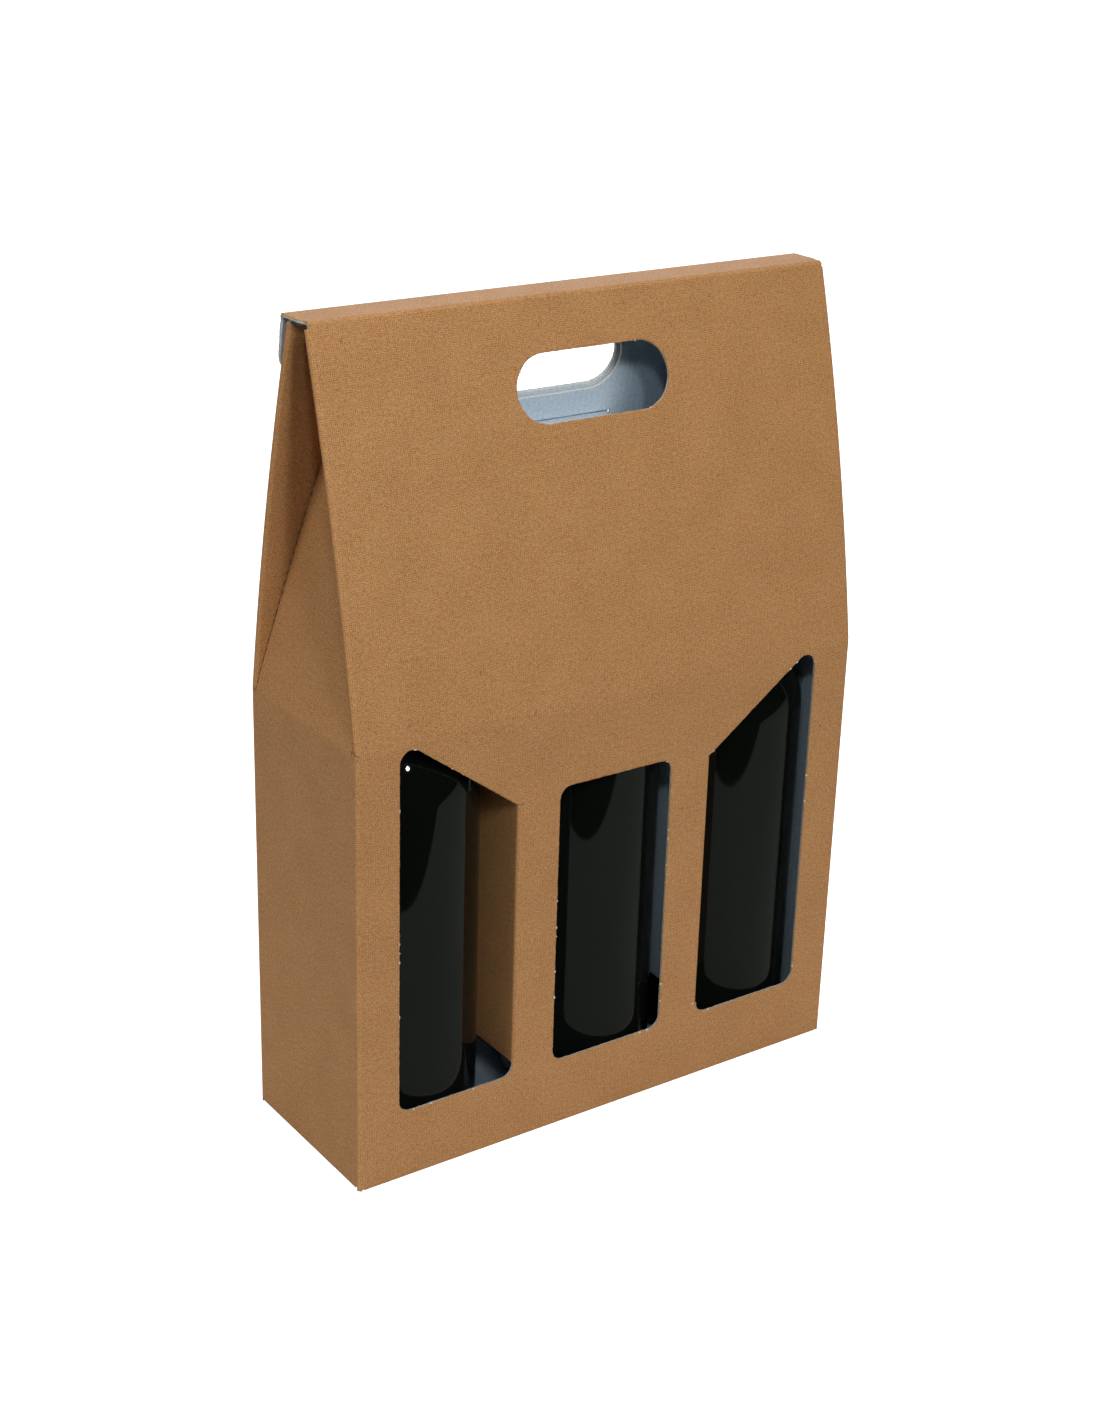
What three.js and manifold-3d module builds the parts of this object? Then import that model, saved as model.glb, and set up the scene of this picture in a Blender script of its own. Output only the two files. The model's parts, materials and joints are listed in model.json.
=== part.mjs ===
// Gift carrier for three wine bottles: a carton of thin kraft board with three windows in front,
// two slopes that lean together over the bottles, a bridge between them and a carrying hole.
// Millimetres, +Z up, front towards -Y, origin on the floor under the middle of the box.

import * as THREE from 'three';
import { mergeVertices } from 'three/addons/utils/BufferGeometryUtils.js';
import Module from 'manifold-3d';

const wasm = await Module();
wasm.setup();

// Board and clearances
const board = 1.6;
const creaseGap = 0.3;
const gussetClearance = 0.6;

// Bottles, the room that the carton gives them, and how far each has slid in its cell
const bottleDiameter = 73;
const bottleHeight = 297;
const bottleBody = 174;
const bottleShoulder = 46;
const neckDiameter = 28;
const bottlePitch = 91.5;
const bottleForward = 6;
const leftBottleShift = 0.5;
const middleBottleShift = 9;
const rightBottleShift = 2.5;
const frontClearance = 7.9;
const sideClearance = 5.4;
const shoulderRoom = 34;
const gripRoom = 84.2;
const heelRadius = 7;
const puntDepth = 22;
const puntCrown = 9;
const puntCrownDepth = 19;
const shoulderEase = 1.2;
const lipHeight = 9;
const lipStep = 1.2;
const capsuleWall = 0.5;
const capsuleLength = 58;

// Slopes, bridge, closure flap and carrying hole
const slopeSpread = 17;
const slopeBow = 3;
const flapStandoff = 3;
const flapContact = 0.4;
const flapBulgeLength = 30;
const flapShoulder = 24;
const flapSideInset = 0.5;
const flapFootWidth = 124;
const flapCornerRadius = 14;
const handleLength = 80;
const handleHeight = 30;
const handleDrop = 37.2;
const flapHoleInset = 2;
const slitDrop = 66;
const slitClearance = 0.6;
const tabWidth = 80;
const tabReach = 8;
const tabDip = THREE.MathUtils.degToRad(25);

// Gussets
const wingTip = 2;
const notchAngle = THREE.MathUtils.degToRad(45);

// Windows
const windowSill = 34;
const windowWidth = 60.5;
const middleWindowWidth = 62;
const windowInset = 21;
const windowPeakRise = 3.2;
const windowShoulderDrop = 41;
const middleWindowDrop = 38;
const windowRadius = 6;

// Base and seam
const baseTongue = 16;
const baseTongueHalf = 45;
const baseFlapLength = 86;
const baseFlapChamfer = 12;
const seamWidth = 18;
const seamTaper = 6;

// Facets
const bowSteps = 10;
const cornerSteps = 5;
const turnSteps = 28;

// Sizes that follow from the driving ones
const boxDepth = bottleDiameter + 2 * (frontClearance + board);
const boxWidth = 2 * bottlePitch + bottleDiameter + 2 * (sideClearance + board);
const halfWidth = boxWidth / 2;
const halfDepth = boxDepth / 2;
const innerHalfDepth = halfDepth - board;
const baseTop = board;
const outerFoot = 2 * board + 2 * creaseGap;
const middleFoot = board + creaseGap;
const foldHeight = outerFoot + bottleBody + shoulderRoom;
const boxHeight = outerFoot + bottleHeight + gripRoom;
const panelTop = foldHeight - 2 * creaseGap;
const bridgeUnderside = boxHeight - board;
const slopeTop = bridgeUnderside - creaseGap;

const kraft = { color: 0xb2834f, roughness: 0.9, metalness: 0 };
const glass = { color: 0x0b0f0c, roughness: 0.08, metalness: 0 };
const foil = { color: 0x17181a, roughness: 0.45, metalness: 0.3 };

// Solid helpers

function toSolid(geometry) {
  geometry.deleteAttribute('normal');
  geometry.deleteAttribute('uv');
  const merged = mergeVertices(geometry, 1e-4);
  const vertProperties = new Float32Array(merged.getAttribute('position').array);
  const triVerts = new Uint32Array(merged.index.array);
  return new wasm.Manifold(new wasm.Mesh({ numProp: 3, vertProperties, triVerts }));
}

function toGeometry(solid) {
  const { vertProperties, triVerts } = solid.getMesh();
  const geometry = new THREE.BufferGeometry();
  geometry.setAttribute('position', new THREE.BufferAttribute(vertProperties, 3));
  geometry.setIndex(new THREE.BufferAttribute(triVerts, 1));
  geometry.computeVertexNormals();
  return geometry;
}

// A shape drawn on two axes and pushed along the third, between two places on it.
const pushFrames = {
  x: [new THREE.Vector3(0, 1, 0), new THREE.Vector3(0, 0, 1), new THREE.Vector3(1, 0, 0)],
  y: [new THREE.Vector3(1, 0, 0), new THREE.Vector3(0, 0, 1), new THREE.Vector3(0, -1, 0)],
  z: [new THREE.Vector3(1, 0, 0), new THREE.Vector3(0, 1, 0), new THREE.Vector3(0, 0, 1)],
};

function push(axis, shape, from, to) {
  const low = Math.min(from, to);
  const high = Math.max(from, to);
  const [right, up, along] = pushFrames[axis];
  const geometry = new THREE.ExtrudeGeometry(shape, {
    depth: high - low,
    bevelEnabled: false,
    curveSegments: cornerSteps,
  });
  const start = axis === 'y' ? high : low;
  const origin = new THREE.Vector3(0, 0, 0).setComponent('xyz'.indexOf(axis), start);
  geometry.applyMatrix4(new THREE.Matrix4().makeBasis(right, up, along).setPosition(origin));
  return toSolid(geometry);
}

// A closed outline through corners given as [x, y, radius]; a radius of 0 keeps the corner sharp.
function outline(corners) {
  const shape = new THREE.Shape();
  corners.forEach(([x, y, radius], i) => {
    const corner = new THREE.Vector2(x, y);
    const before = corners[(i + corners.length - 1) % corners.length];
    const after = corners[(i + 1) % corners.length];
    const inward = new THREE.Vector2(before[0], before[1]).sub(corner).normalize();
    const outward = new THREE.Vector2(after[0], after[1]).sub(corner).normalize();
    const half = Math.acos(THREE.MathUtils.clamp(inward.dot(outward), -1, 1)) / 2;
    const setback = radius / Math.tan(half);
    const entry = corner.clone().addScaledVector(inward, setback);
    if (i === 0) shape.moveTo(entry.x, entry.y);
    else shape.lineTo(entry.x, entry.y);
    if (radius > 0) {
      const centre = inward.clone().add(outward).normalize();
      centre.multiplyScalar(radius / Math.sin(half)).add(corner);
      const leave = corner.clone().addScaledVector(outward, setback);
      const start = Math.atan2(entry.y - centre.y, entry.x - centre.x);
      const end = Math.atan2(leave.y - centre.y, leave.x - centre.x);
      const clockwise = inward.cross(outward) > 0;
      shape.absarc(centre.x, centre.y, radius, start, end, clockwise);
    }
  });
  shape.closePath();
  return shape;
}

function rectangle(left, right, bottom, top) {
  return outline([[left, bottom, 0], [right, bottom, 0], [right, top, 0], [left, top, 0]]);
}

function polygon(points) {
  return new THREE.Shape(points.map(([x, y]) => new THREE.Vector2(x, y)));
}

const part = new THREE.Group();

function add(name, solid, finish) {
  const mesh = new THREE.Mesh(toGeometry(solid), new THREE.MeshStandardMaterial(finish));
  mesh.name = name;
  part.add(mesh);
}

// The bowed slope of one face (front -1, back +1), seen from the side. The arc runs from the crease
// on the panel to the crease under the bridge; inset counts inward from the outer face.
const slopeRun = halfDepth - slopeSpread / 2;
const slopeRise = slopeTop - foldHeight;
const slopeChord = Math.hypot(slopeRun, slopeRise);
const slopeLean = Math.atan2(slopeRun, slopeRise);
const slopeRadius = (slopeChord ** 2 / 4 + slopeBow ** 2) / (2 * slopeBow);
const slopeHalfAngle = Math.asin(slopeChord / 2 / slopeRadius);

function slopePoint(face, share, inset) {
  const along = [-face * Math.sin(slopeLean), Math.cos(slopeLean)];
  const outward = [face * Math.cos(slopeLean), Math.sin(slopeLean)];
  const middle = [face * (halfDepth - slopeRun / 2), foldHeight + slopeRise / 2];
  const angle = slopeHalfAngle * (2 * share - 1);
  const reach = slopeRadius - inset;
  const back = slopeRadius - slopeBow;
  return [0, 1].map((k) => middle[k] - outward[k] * back
    + reach * (outward[k] * Math.cos(angle) + along[k] * Math.sin(angle)));
}

// A strip that follows the slope between two shares of its height, with an inset for each face that
// may change on the way up.
function slopeStrip(face, from, to, outerInset, innerInset) {
  const shares = Array.from({ length: bowSteps + 1 }, (_, i) => from + (to - from) * i / bowSteps);
  const outer = shares.map((share) => slopePoint(face, share, outerInset(share)));
  const inner = shares.map((share) => slopePoint(face, share, innerInset(share)));
  return polygon([...outer, ...inner.reverse()]);
}

// The carrying hole: a slot with round ends, cut square to the slope at its middle.
function handleCut(face, length, height) {
  const share = 1 - handleDrop / slopeChord;
  const [y, z] = slopePoint(face, share, 0);
  const tilt = slopeLean + slopeHalfAngle * (2 * share - 1);
  const halfLong = length / 2;
  const halfTall = height / 2;
  const slot = outline([
    [-halfLong, -halfTall, halfTall], [halfLong, -halfTall, halfTall],
    [halfLong, halfTall, halfTall], [-halfLong, halfTall, halfTall],
  ]);
  const cutDepth = handleHeight;
  const geometry = new THREE.ExtrudeGeometry(slot, {
    depth: 2 * cutDepth,
    bevelEnabled: false,
    curveSegments: 2 * cornerSteps,
  });
  geometry.translate(0, 0, -cutDepth);
  geometry.rotateX(Math.PI / 2 + face * tilt);
  geometry.translate(0, y, z);
  return toSolid(geometry);
}

// Front panel and its windows. The cut-outs of the outer windows stay on their inner edges and are
// turned inward as dividers; the middle cut-out is removed.
const windowOuter = halfWidth - windowInset;
const windowInner = windowOuter - windowWidth;
const windowPeak = foldHeight + windowPeakRise;
const windowShoulder = foldHeight - windowShoulderDrop;

// Outline of an outer window; across counts from its inner edge, and trim makes it smaller all round.
// Its outer corner would meet above the fold, and is rounded to a peak just below it.
function sideWindow(toX, trim) {
  return outline([
    [toX(0), windowSill + trim, 0],
    [toX(windowWidth - trim), windowSill + trim, windowRadius],
    [toX(windowWidth - trim), windowPeak - trim, windowRadius],
    [toX(0), windowShoulder - trim, 0],
  ]);
}

const frontSheet = push('y', rectangle(-halfWidth, halfWidth, 0, panelTop), -halfDepth, -innerHalfDepth);
const cutNear = -halfDepth - board;
const cutFar = -innerHalfDepth + board;
const middleHalf = middleWindowWidth / 2;
const middleWindow = outline([
  [-middleHalf, windowSill, windowRadius],
  [middleHalf, windowSill, windowRadius],
  [middleHalf, foldHeight - middleWindowDrop, windowRadius],
  [-middleHalf, foldHeight - middleWindowDrop, windowRadius],
]);
let frontPanel = frontSheet.subtract(push('y', middleWindow, cutNear, cutFar));
for (const side of [-1, 1]) {
  const window = sideWindow((across) => side * (windowInner + across), 0);
  frontPanel = frontPanel.subtract(push('y', window, cutNear, cutFar));
}
add('front_panel', frontPanel, kraft);

const backSheet = rectangle(-halfWidth, halfWidth, 0, panelTop);
add('back_panel', push('y', backSheet, innerHalfDepth, halfDepth), kraft);

// Side panels stand between the front and back panels.
const sideReach = innerHalfDepth - creaseGap;
for (const [name, side] of [['left', -1], ['right', 1]]) {
  const sheet = rectangle(-sideReach, sideReach, 0, panelTop);
  add(`${name}_side_panel`, push('x', sheet, side * halfWidth, side * (halfWidth - board)), kraft);
}

// Seam flap: folded off the right side panel and glued inside the back panel.
const innerHalfWidth = halfWidth - board - creaseGap;
const seamFlap = polygon([
  [innerHalfWidth, baseTop + outerFoot],
  [innerHalfWidth, panelTop],
  [innerHalfWidth - seamWidth, panelTop - seamTaper],
  [innerHalfWidth - seamWidth, baseTop + outerFoot + seamTaper],
]);
add('glue_flap', push('y', seamFlap, sideReach - board, sideReach), kraft);

// Base: front and back flaps meet in one layer with a tongue between them, under two side flaps.
const tongueEdge = baseTongue / 2;
function baseSeam(shift) {
  const near = tongueEdge + shift;
  const far = shift - tongueEdge;
  const lean = baseTongue / 2;
  return [
    [-innerHalfWidth, near],
    [-baseTongueHalf - lean, near],
    [-baseTongueHalf + lean, far],
    [baseTongueHalf - lean, far],
    [baseTongueHalf + lean, near],
    [innerHalfWidth, near],
  ];
}
const frontFlap = [...baseSeam(-creaseGap), [innerHalfWidth, -sideReach], [-innerHalfWidth, -sideReach]];
add('front_base_flap', push('z', polygon(frontFlap), 0, baseTop), kraft);
const backFlap = [...baseSeam(creaseGap), [innerHalfWidth, sideReach], [-innerHalfWidth, sideReach]];
add('back_base_flap', push('z', polygon(backFlap), 0, baseTop), kraft);
for (const [name, side] of [['left', -1], ['right', 1]]) {
  const flap = polygon([
    [side * innerHalfWidth, -sideReach],
    [side * (innerHalfWidth - baseFlapLength + baseFlapChamfer), -sideReach],
    [side * (innerHalfWidth - baseFlapLength), -sideReach + baseFlapChamfer],
    [side * (innerHalfWidth - baseFlapLength), sideReach - baseFlapChamfer],
    [side * (innerHalfWidth - baseFlapLength + baseFlapChamfer), sideReach],
    [side * innerHalfWidth, sideReach],
  ]);
  const low = baseTop + creaseGap;
  add(`${name}_base_flap`, push('z', flap, low, low + board), kraft);
}

// Dividers: each outer window's cut-out, turned inward about the window's inner edge.
for (const [name, side] of [['left', -1], ['right', 1]]) {
  const hingeDepth = -innerHalfDepth + creaseGap;
  const cutOut = sideWindow((across) => hingeDepth + across, creaseGap);
  const outerFace = side * windowInner;
  add(`${name}_divider`, push('x', cutOut, outerFace, outerFace - side * board), kraft);
}

// Slopes. The back one has a slit for the lock tab.
const flat = (inset) => () => inset;
const frontBand = push('x', slopeStrip(-1, 0, 1, flat(0), flat(board)), -halfWidth, halfWidth);
add('front_slope', frontBand.subtract(handleCut(-1, handleLength, handleHeight)), kraft);

// The lock tab leaves the foot of the closure flap inward and down, along its own way out.
const tabShare = 1 - slitDrop / slopeChord;
const tabRoot = slopePoint(1, tabShare + board / slopeChord, -flapContact - board / 2);
const tabWay = [-Math.cos(tabDip), -Math.sin(tabDip)];
function tabSection(start, end, thickness) {
  const aside = [-tabWay[1] * thickness / 2, tabWay[0] * thickness / 2];
  const at = (reach, hand) => [0, 1].map((k) => tabRoot[k] + tabWay[k] * reach + hand * aside[k]);
  return polygon([at(start, 1), at(end, 1), at(end, -1), at(start, -1)]);
}
const slitHalf = tabWidth / 2 + slitClearance;
const slitSection = tabSection(0, 2 * tabReach, board + 2 * slitClearance);
const slit = push('x', slitSection, -slitHalf, slitHalf);
const backBand = push('x', slopeStrip(1, 0, 1, flat(0), flat(board)), -halfWidth, halfWidth);
const backHole = handleCut(1, handleLength, handleHeight);
add('back_slope', backBand.subtract(backHole).subtract(slit), kraft);

// Closure flap: hangs from the bridge outside the back slope, springs away from it near the bridge
// and lies on it lower down, where its tab goes through the slit.
const flapTopShare = 1 - (flapStandoff + board) * Math.tan(slopeLean + slopeHalfAngle) / slopeChord;
function flapInset(share) {
  const rise = THREE.MathUtils.smoothstep(share, flapTopShare - flapBulgeLength / slopeChord, flapTopShare);
  return -(flapContact + (flapStandoff - flapContact) * rise);
}
const flapStrip = slopeStrip(1, tabShare, flapTopShare, (s) => flapInset(s) - board, flapInset);
const flapHalf = halfWidth - flapSideInset;
const flapFoot = slopePoint(1, tabShare, 0)[1] - board;
const flapLine = outline([
  [-flapFootWidth / 2, flapFoot, 0],
  [flapFootWidth / 2, flapFoot, 0],
  [flapHalf, boxHeight - flapShoulder, flapCornerRadius],
  [flapHalf, boxHeight, 0],
  [-flapHalf, boxHeight, 0],
  [-flapHalf, boxHeight - flapShoulder, flapCornerRadius],
]);
const flapSheet = push('x', flapStrip, -flapHalf, flapHalf).intersect(push('y', flapLine, 0, halfDepth));
const flapHole = handleCut(1, handleLength - 2 * flapHoleInset, handleHeight - 2 * flapHoleInset);
const tab = push('x', tabSection(0, tabReach, board), -tabWidth / 2, tabWidth / 2);
add('closure_flap', flapSheet.subtract(flapHole).add(tab), kraft);

// Bridge: from the front slope's outer face to the closure flap's outer face.
const bridgeBack = slopePoint(1, flapTopShare, flapInset(flapTopShare) - board)[0];
const bridge = rectangle(-slopeSpread / 2, bridgeBack, bridgeUnderside, boxHeight);
add('top_bridge', push('x', bridge, -halfWidth, halfWidth), kraft);

// Gussets fill the ends: a tall middle piece that leans in as far as the slopes do, and a narrow wing
// on each side of it that is folded flat against the inside of the slope. A notch at the top keeps
// them clear of the bridge.
const gussetLean = slopeLean;
const wingRoot = halfWidth - board - creaseGap;
const gussetX = (z) => halfWidth - (z - foldHeight) * Math.tan(gussetLean);
const gussetThrough = board / Math.cos(gussetLean);
const wingTop = slopeTop - board;
const notchSlope = 1 / Math.tan(notchAngle);
const leanSlope = Math.tan(gussetLean);
const notchX = (z) => wingRoot - (wingTop - z) * notchSlope;
const gussetTop = (halfWidth - wingRoot + foldHeight * leanSlope + wingTop * notchSlope)
  / (leanSlope + notchSlope);
const wingStart = foldHeight + (wingTip + halfWidth - wingRoot - gussetThrough) / leanSlope;
const wingFace = 2 * board + creaseGap;

for (const [name, side] of [['left', -1], ['right', 1]]) {
  const lean = polygon([
    [side * halfWidth, foldHeight],
    [side * gussetX(gussetTop), gussetTop],
    [side * (gussetX(gussetTop) - gussetThrough), gussetTop],
    [side * (halfWidth - gussetThrough), foldHeight],
  ]);
  const edge = wingFace + gussetClearance;
  const shares = Array.from({ length: bowSteps + 1 }, (_, i) => i / bowSteps);
  const rightEdge = shares.map((share) => slopePoint(1, share, edge));
  const leftEdge = shares.map((share) => slopePoint(-1, share, edge));
  const middle = push('x', polygon([...rightEdge, ...leftEdge.reverse()]), -halfWidth, halfWidth);
  add(`${name}_gusset`, push('y', lean, -halfDepth, halfDepth).intersect(middle), kraft);

  const wingLine = polygon([
    [side * wingRoot, wingStart],
    [side * wingRoot, wingTop],
    [side * notchX(gussetTop), gussetTop],
    [side * (gussetX(gussetTop) - gussetThrough), gussetTop],
    [side * (gussetX(wingStart) - gussetThrough), wingStart],
  ]);
  for (const [place, face] of [['front', -1], ['back', 1]]) {
    const strip = slopeStrip(face, 0, 1, flat(board + creaseGap), flat(wingFace));
    const sheet = push('x', strip, side * halfWidth, 0);
    add(`${name}_${place}_wing`, sheet.intersect(push('y', wingLine, -halfDepth, halfDepth)), kraft);
  }
}

// Bottles and the capsules over their necks, turned about their own axes.
function turned(points, x, foot) {
  const profile = points.map(([radius, height]) => new THREE.Vector2(radius, height));
  const geometry = new THREE.LatheGeometry(profile, turnSteps);
  geometry.rotateX(Math.PI / 2);
  geometry.translate(x, -bottleForward, foot);
  return toSolid(geometry);
}

function arc(centreRadius, centreHeight, radius, startAngle, endAngle) {
  return Array.from({ length: cornerSteps + 1 }, (_, i) => {
    const angle = startAngle + (endAngle - startAngle) * i / cornerSteps;
    return [centreRadius + radius * Math.cos(angle), centreHeight + radius * Math.sin(angle)];
  });
}

const bottleRadius = bottleDiameter / 2;
const neckRadius = neckDiameter / 2;
const lipRadius = neckRadius + lipStep;
const capsuleBottom = bottleHeight - capsuleLength;
function shoulderPoints() {
  return Array.from({ length: 2 * cornerSteps + 1 }, (_, i) => {
    const share = i / (2 * cornerSteps);
    const drop = bottleRadius - neckRadius;
    const swing = (1 - Math.cos(Math.PI * share ** shoulderEase)) / 2;
    return [bottleRadius - drop * swing, bottleBody + bottleShoulder * share];
  });
}
const bottleProfile = [
  [0, puntDepth],
  [puntCrown, puntCrownDepth],
  [bottleRadius - heelRadius - board, 0],
  ...arc(bottleRadius - heelRadius, heelRadius, heelRadius, -Math.PI / 2, 0),
  ...shoulderPoints(),
  [neckRadius, bottleHeight - lipHeight],
  [lipRadius, bottleHeight - lipHeight],
  [lipRadius, bottleHeight],
  [0, bottleHeight],
];
const capsuleBore = lipRadius + creaseGap;
const capsuleOuter = capsuleBore + capsuleWall;
const capsuleProfile = [
  [0, bottleHeight + creaseGap],
  [capsuleBore, bottleHeight + creaseGap],
  [capsuleBore, capsuleBottom],
  [capsuleOuter, capsuleBottom],
  [capsuleOuter, bottleHeight + creaseGap + capsuleWall],
  [0, bottleHeight + creaseGap + capsuleWall],
];
const places = [
  ['left', -bottlePitch + leftBottleShift, outerFoot],
  ['middle', middleBottleShift, middleFoot],
  ['right', bottlePitch + rightBottleShift, outerFoot],
];
for (const [name, x, foot] of places) {
  add(`${name}_bottle`, turned(bottleProfile, x, foot), glass);
  add(`${name}_capsule`, turned(capsuleProfile, x, foot), foil);
}

export default part;
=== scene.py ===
import json
import math
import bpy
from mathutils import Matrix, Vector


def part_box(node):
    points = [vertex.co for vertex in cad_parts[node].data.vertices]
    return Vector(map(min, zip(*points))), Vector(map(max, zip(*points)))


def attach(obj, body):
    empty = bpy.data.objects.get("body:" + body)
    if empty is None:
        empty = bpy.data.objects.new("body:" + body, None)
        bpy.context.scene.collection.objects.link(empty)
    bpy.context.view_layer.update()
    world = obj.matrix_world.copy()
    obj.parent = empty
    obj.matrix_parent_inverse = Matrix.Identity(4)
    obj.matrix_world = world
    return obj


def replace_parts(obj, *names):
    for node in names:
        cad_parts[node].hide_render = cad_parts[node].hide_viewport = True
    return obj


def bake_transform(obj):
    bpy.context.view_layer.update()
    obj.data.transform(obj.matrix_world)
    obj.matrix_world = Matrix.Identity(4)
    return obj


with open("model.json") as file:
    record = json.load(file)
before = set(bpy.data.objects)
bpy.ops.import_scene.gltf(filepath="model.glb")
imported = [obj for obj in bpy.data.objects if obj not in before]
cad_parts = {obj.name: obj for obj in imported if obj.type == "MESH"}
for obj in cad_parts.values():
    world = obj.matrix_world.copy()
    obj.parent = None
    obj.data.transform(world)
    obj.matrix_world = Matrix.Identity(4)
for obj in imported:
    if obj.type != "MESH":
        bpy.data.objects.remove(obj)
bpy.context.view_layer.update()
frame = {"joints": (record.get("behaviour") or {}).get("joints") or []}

import zlib
from bisect import bisect_right

import bpy
import numpy as np
from mathutils import Matrix, Vector
from mathutils.geometry import delaunay_2d_cdt

# Sleeve: one length of thin fluted board, brown kraft paper outside and a white liner inside, folded
# round four corners into a tube and glued to itself inside the back panel. Three windows are die-cut
# in its front.
panel_low, panel_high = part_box("front_panel")
half_width = panel_high.x
half_depth = -panel_low.y
board = panel_high.y - panel_low.y
fold = next(joint for joint in frame["joints"] if joint["name"] == "front_slope_open")
fold_height = Vector(fold["pos_m"]).z

corner_radius = 0.0018
sleeve_foot = 0.0014
side_foot = 0.0022
corner_foot = 0.0004
sleeve_top = fold_height - 0.0019
corner_top = fold_height - 0.0001
seam_low, seam_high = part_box("glue_flap")
seam_gap = 0.0002
seam_slant = 0.006

window_sill = 0.0340
window_outer = 0.1140
window_inner = 0.0535
window_peak = fold_height + 0.0032
window_shoulder = 0.1708
middle_half = 0.0310
middle_head = 0.1738
window_radius = 0.006
divider_foot = window_sill + window_radius + 0.0003
hinge_strip = 0.0035
relief = 0.0002

cut_step = 0.0012
arc_step = math.radians(11)
bend_step = math.radians(12)
crush_dip = 0.00028
crush_width = 0.0006
crush_rows = (1, 2.2)
crush_lean = 0.45
least_room = 0.85 * crush_width
rag = 0.00007
tiny = 1e-6
weld = 1e-7
least_area = 1e-12
seam, cut = False, True


def turn_between(came, goes):
    return math.atan2(came.x * goes.y - came.y * goes.x, came.dot(goes))


def left_of(way):
    return Vector((-way.y, way.x))


def rounded_corner(spot, came, goes, radius, step):
    """Points and directions of way round one corner of a line."""
    turn = turn_between(came, goes)
    if radius == 0 or abs(turn) < tiny:
        return [spot], [(came + goes).normalized()]
    hand = math.copysign(1, turn)
    start = spot - came * radius * math.tan(abs(turn) / 2)
    centre = start + left_of(came) * radius * hand
    steps = max(2, math.ceil(abs(turn) / step))
    ways = [Matrix.Rotation(turn * k / steps, 2) @ came for k in range(steps + 1)]
    return [centre - left_of(way) * radius * hand for way in ways], ways


class CreaseLine:
    """A folded board seen along its creases, as the line of its kraft face with the bends rounded.

    Corners are (a, b, bend radius) in the plane of view. The kraft face lies left of the way along the
    line where hand is +1, and right of it where hand is -1."""

    def __init__(self, corners, hand):
        spots = [Vector(corner[:2]) for corner in corners]
        self.points, self.normals, self.runs = [], [], [0.0]
        for i, spot in enumerate(spots):
            here, after = max(i, 1), min(i + 1, len(spots) - 1)
            came = (spots[here] - spots[here - 1]).normalized()
            goes = (spots[after] - spots[after - 1]).normalized()
            points, ways = rounded_corner(spot, came, goes, corners[i][2], bend_step)
            self.points += points
            self.normals += [left_of(way) * hand for way in ways]
        for a, b in zip(self.points, self.points[1:]):
            self.runs.append(self.runs[-1] + (b - a).length)

    def at(self, run, depth=0.0):
        """The place at a run along the line, at a depth under the kraft face."""
        i = min(max(bisect_right(self.runs, run) - 1, 0), len(self.runs) - 2)
        share = (run - self.runs[i]) / (self.runs[i + 1] - self.runs[i])
        normal = self.normals[i].lerp(self.normals[i + 1], share).normalized()
        return self.points[i].lerp(self.points[i + 1], share) - normal * depth

    def find(self, a, b):
        """The run of the place on the line that is nearest to a spot."""
        spot, found = Vector((a, b)), []
        for start, end, run in zip(self.points, self.points[1:], self.runs):
            step = end - start
            share = min(max((spot - start).dot(step) / step.length_squared, 0), 1)
            found.append(((start + step * share - spot).length, run + share * step.length))
        return min(found)[1]

    def find_height(self, height, depth=0.0):
        """The run at which a rising line reaches a height, at a depth under the kraft face."""
        heights = [self.at(run, depth).y for run in self.runs]
        rising = next(i for i in range(1, len(heights)) if heights[i] >= height or i == len(heights) - 1)
        share = (height - heights[rising - 1]) / (heights[rising] - heights[rising - 1])
        return self.runs[rising - 1] + share * (self.runs[rising] - self.runs[rising - 1])


def walk(corners):
    """A closed outline as points, with whether each lies on a die-cut edge.

    Corners are (u, run, radius, kind), where kind is that of the edge which leaves the corner: cut, or a
    seam where the same board goes on in another sheet."""
    spots = [Vector(corner[:2]) for corner in corners]
    bends = []
    for i, spot in enumerate(spots):
        came = (spot - spots[i - 1]).normalized()
        goes = (spots[(i + 1) % len(spots)] - spot).normalized()
        bends.append(rounded_corner(spot, came, goes, corners[i][2], arc_step)[0])
    points, raw = [], []
    for i, bend in enumerate(bends):
        kind = corners[i][3]
        points += bend
        raw += [kind and corners[i - 1][3]] * len(bend)
        reach = bends[(i + 1) % len(bends)][0] - bend[-1]
        steps = max(1, round(reach.length / cut_step)) if kind else 1
        points += [bend[-1] + reach * k / steps for k in range(1, steps)]
        raw += [kind] * (steps - 1)
    return np.array([point[:] for point in points]), np.array(raw, bool)


def inside(points, loops):
    """Which points lie in an outline and outside its holes."""
    x, y = points[:, 0], points[:, 1]
    odd = np.zeros(len(points), bool)
    for loop in loops:
        for (x0, y0), (x1, y1) in zip(loop, np.roll(loop, -1, axis=0)):
            if y0 != y1:
                odd ^= ((y0 > y) != (y1 > y)) & (x < (x1 - x0) * (y - y0) / (y1 - y0) + x0)
    return odd


def crossings(loops, axis, level):
    """Where a straight line at a level of one axis crosses the edges of outlines, in order."""
    found = []
    for loop in loops:
        for start, end in zip(loop, np.roll(loop, -1, axis=0)):
            if (start[axis] > level) != (end[axis] > level):
                share = (level - start[axis]) / (end[axis] - start[axis])
                found.append(start[1 - axis] + share * (end[1 - axis] - start[1 - axis]))
    return sorted(found)


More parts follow.
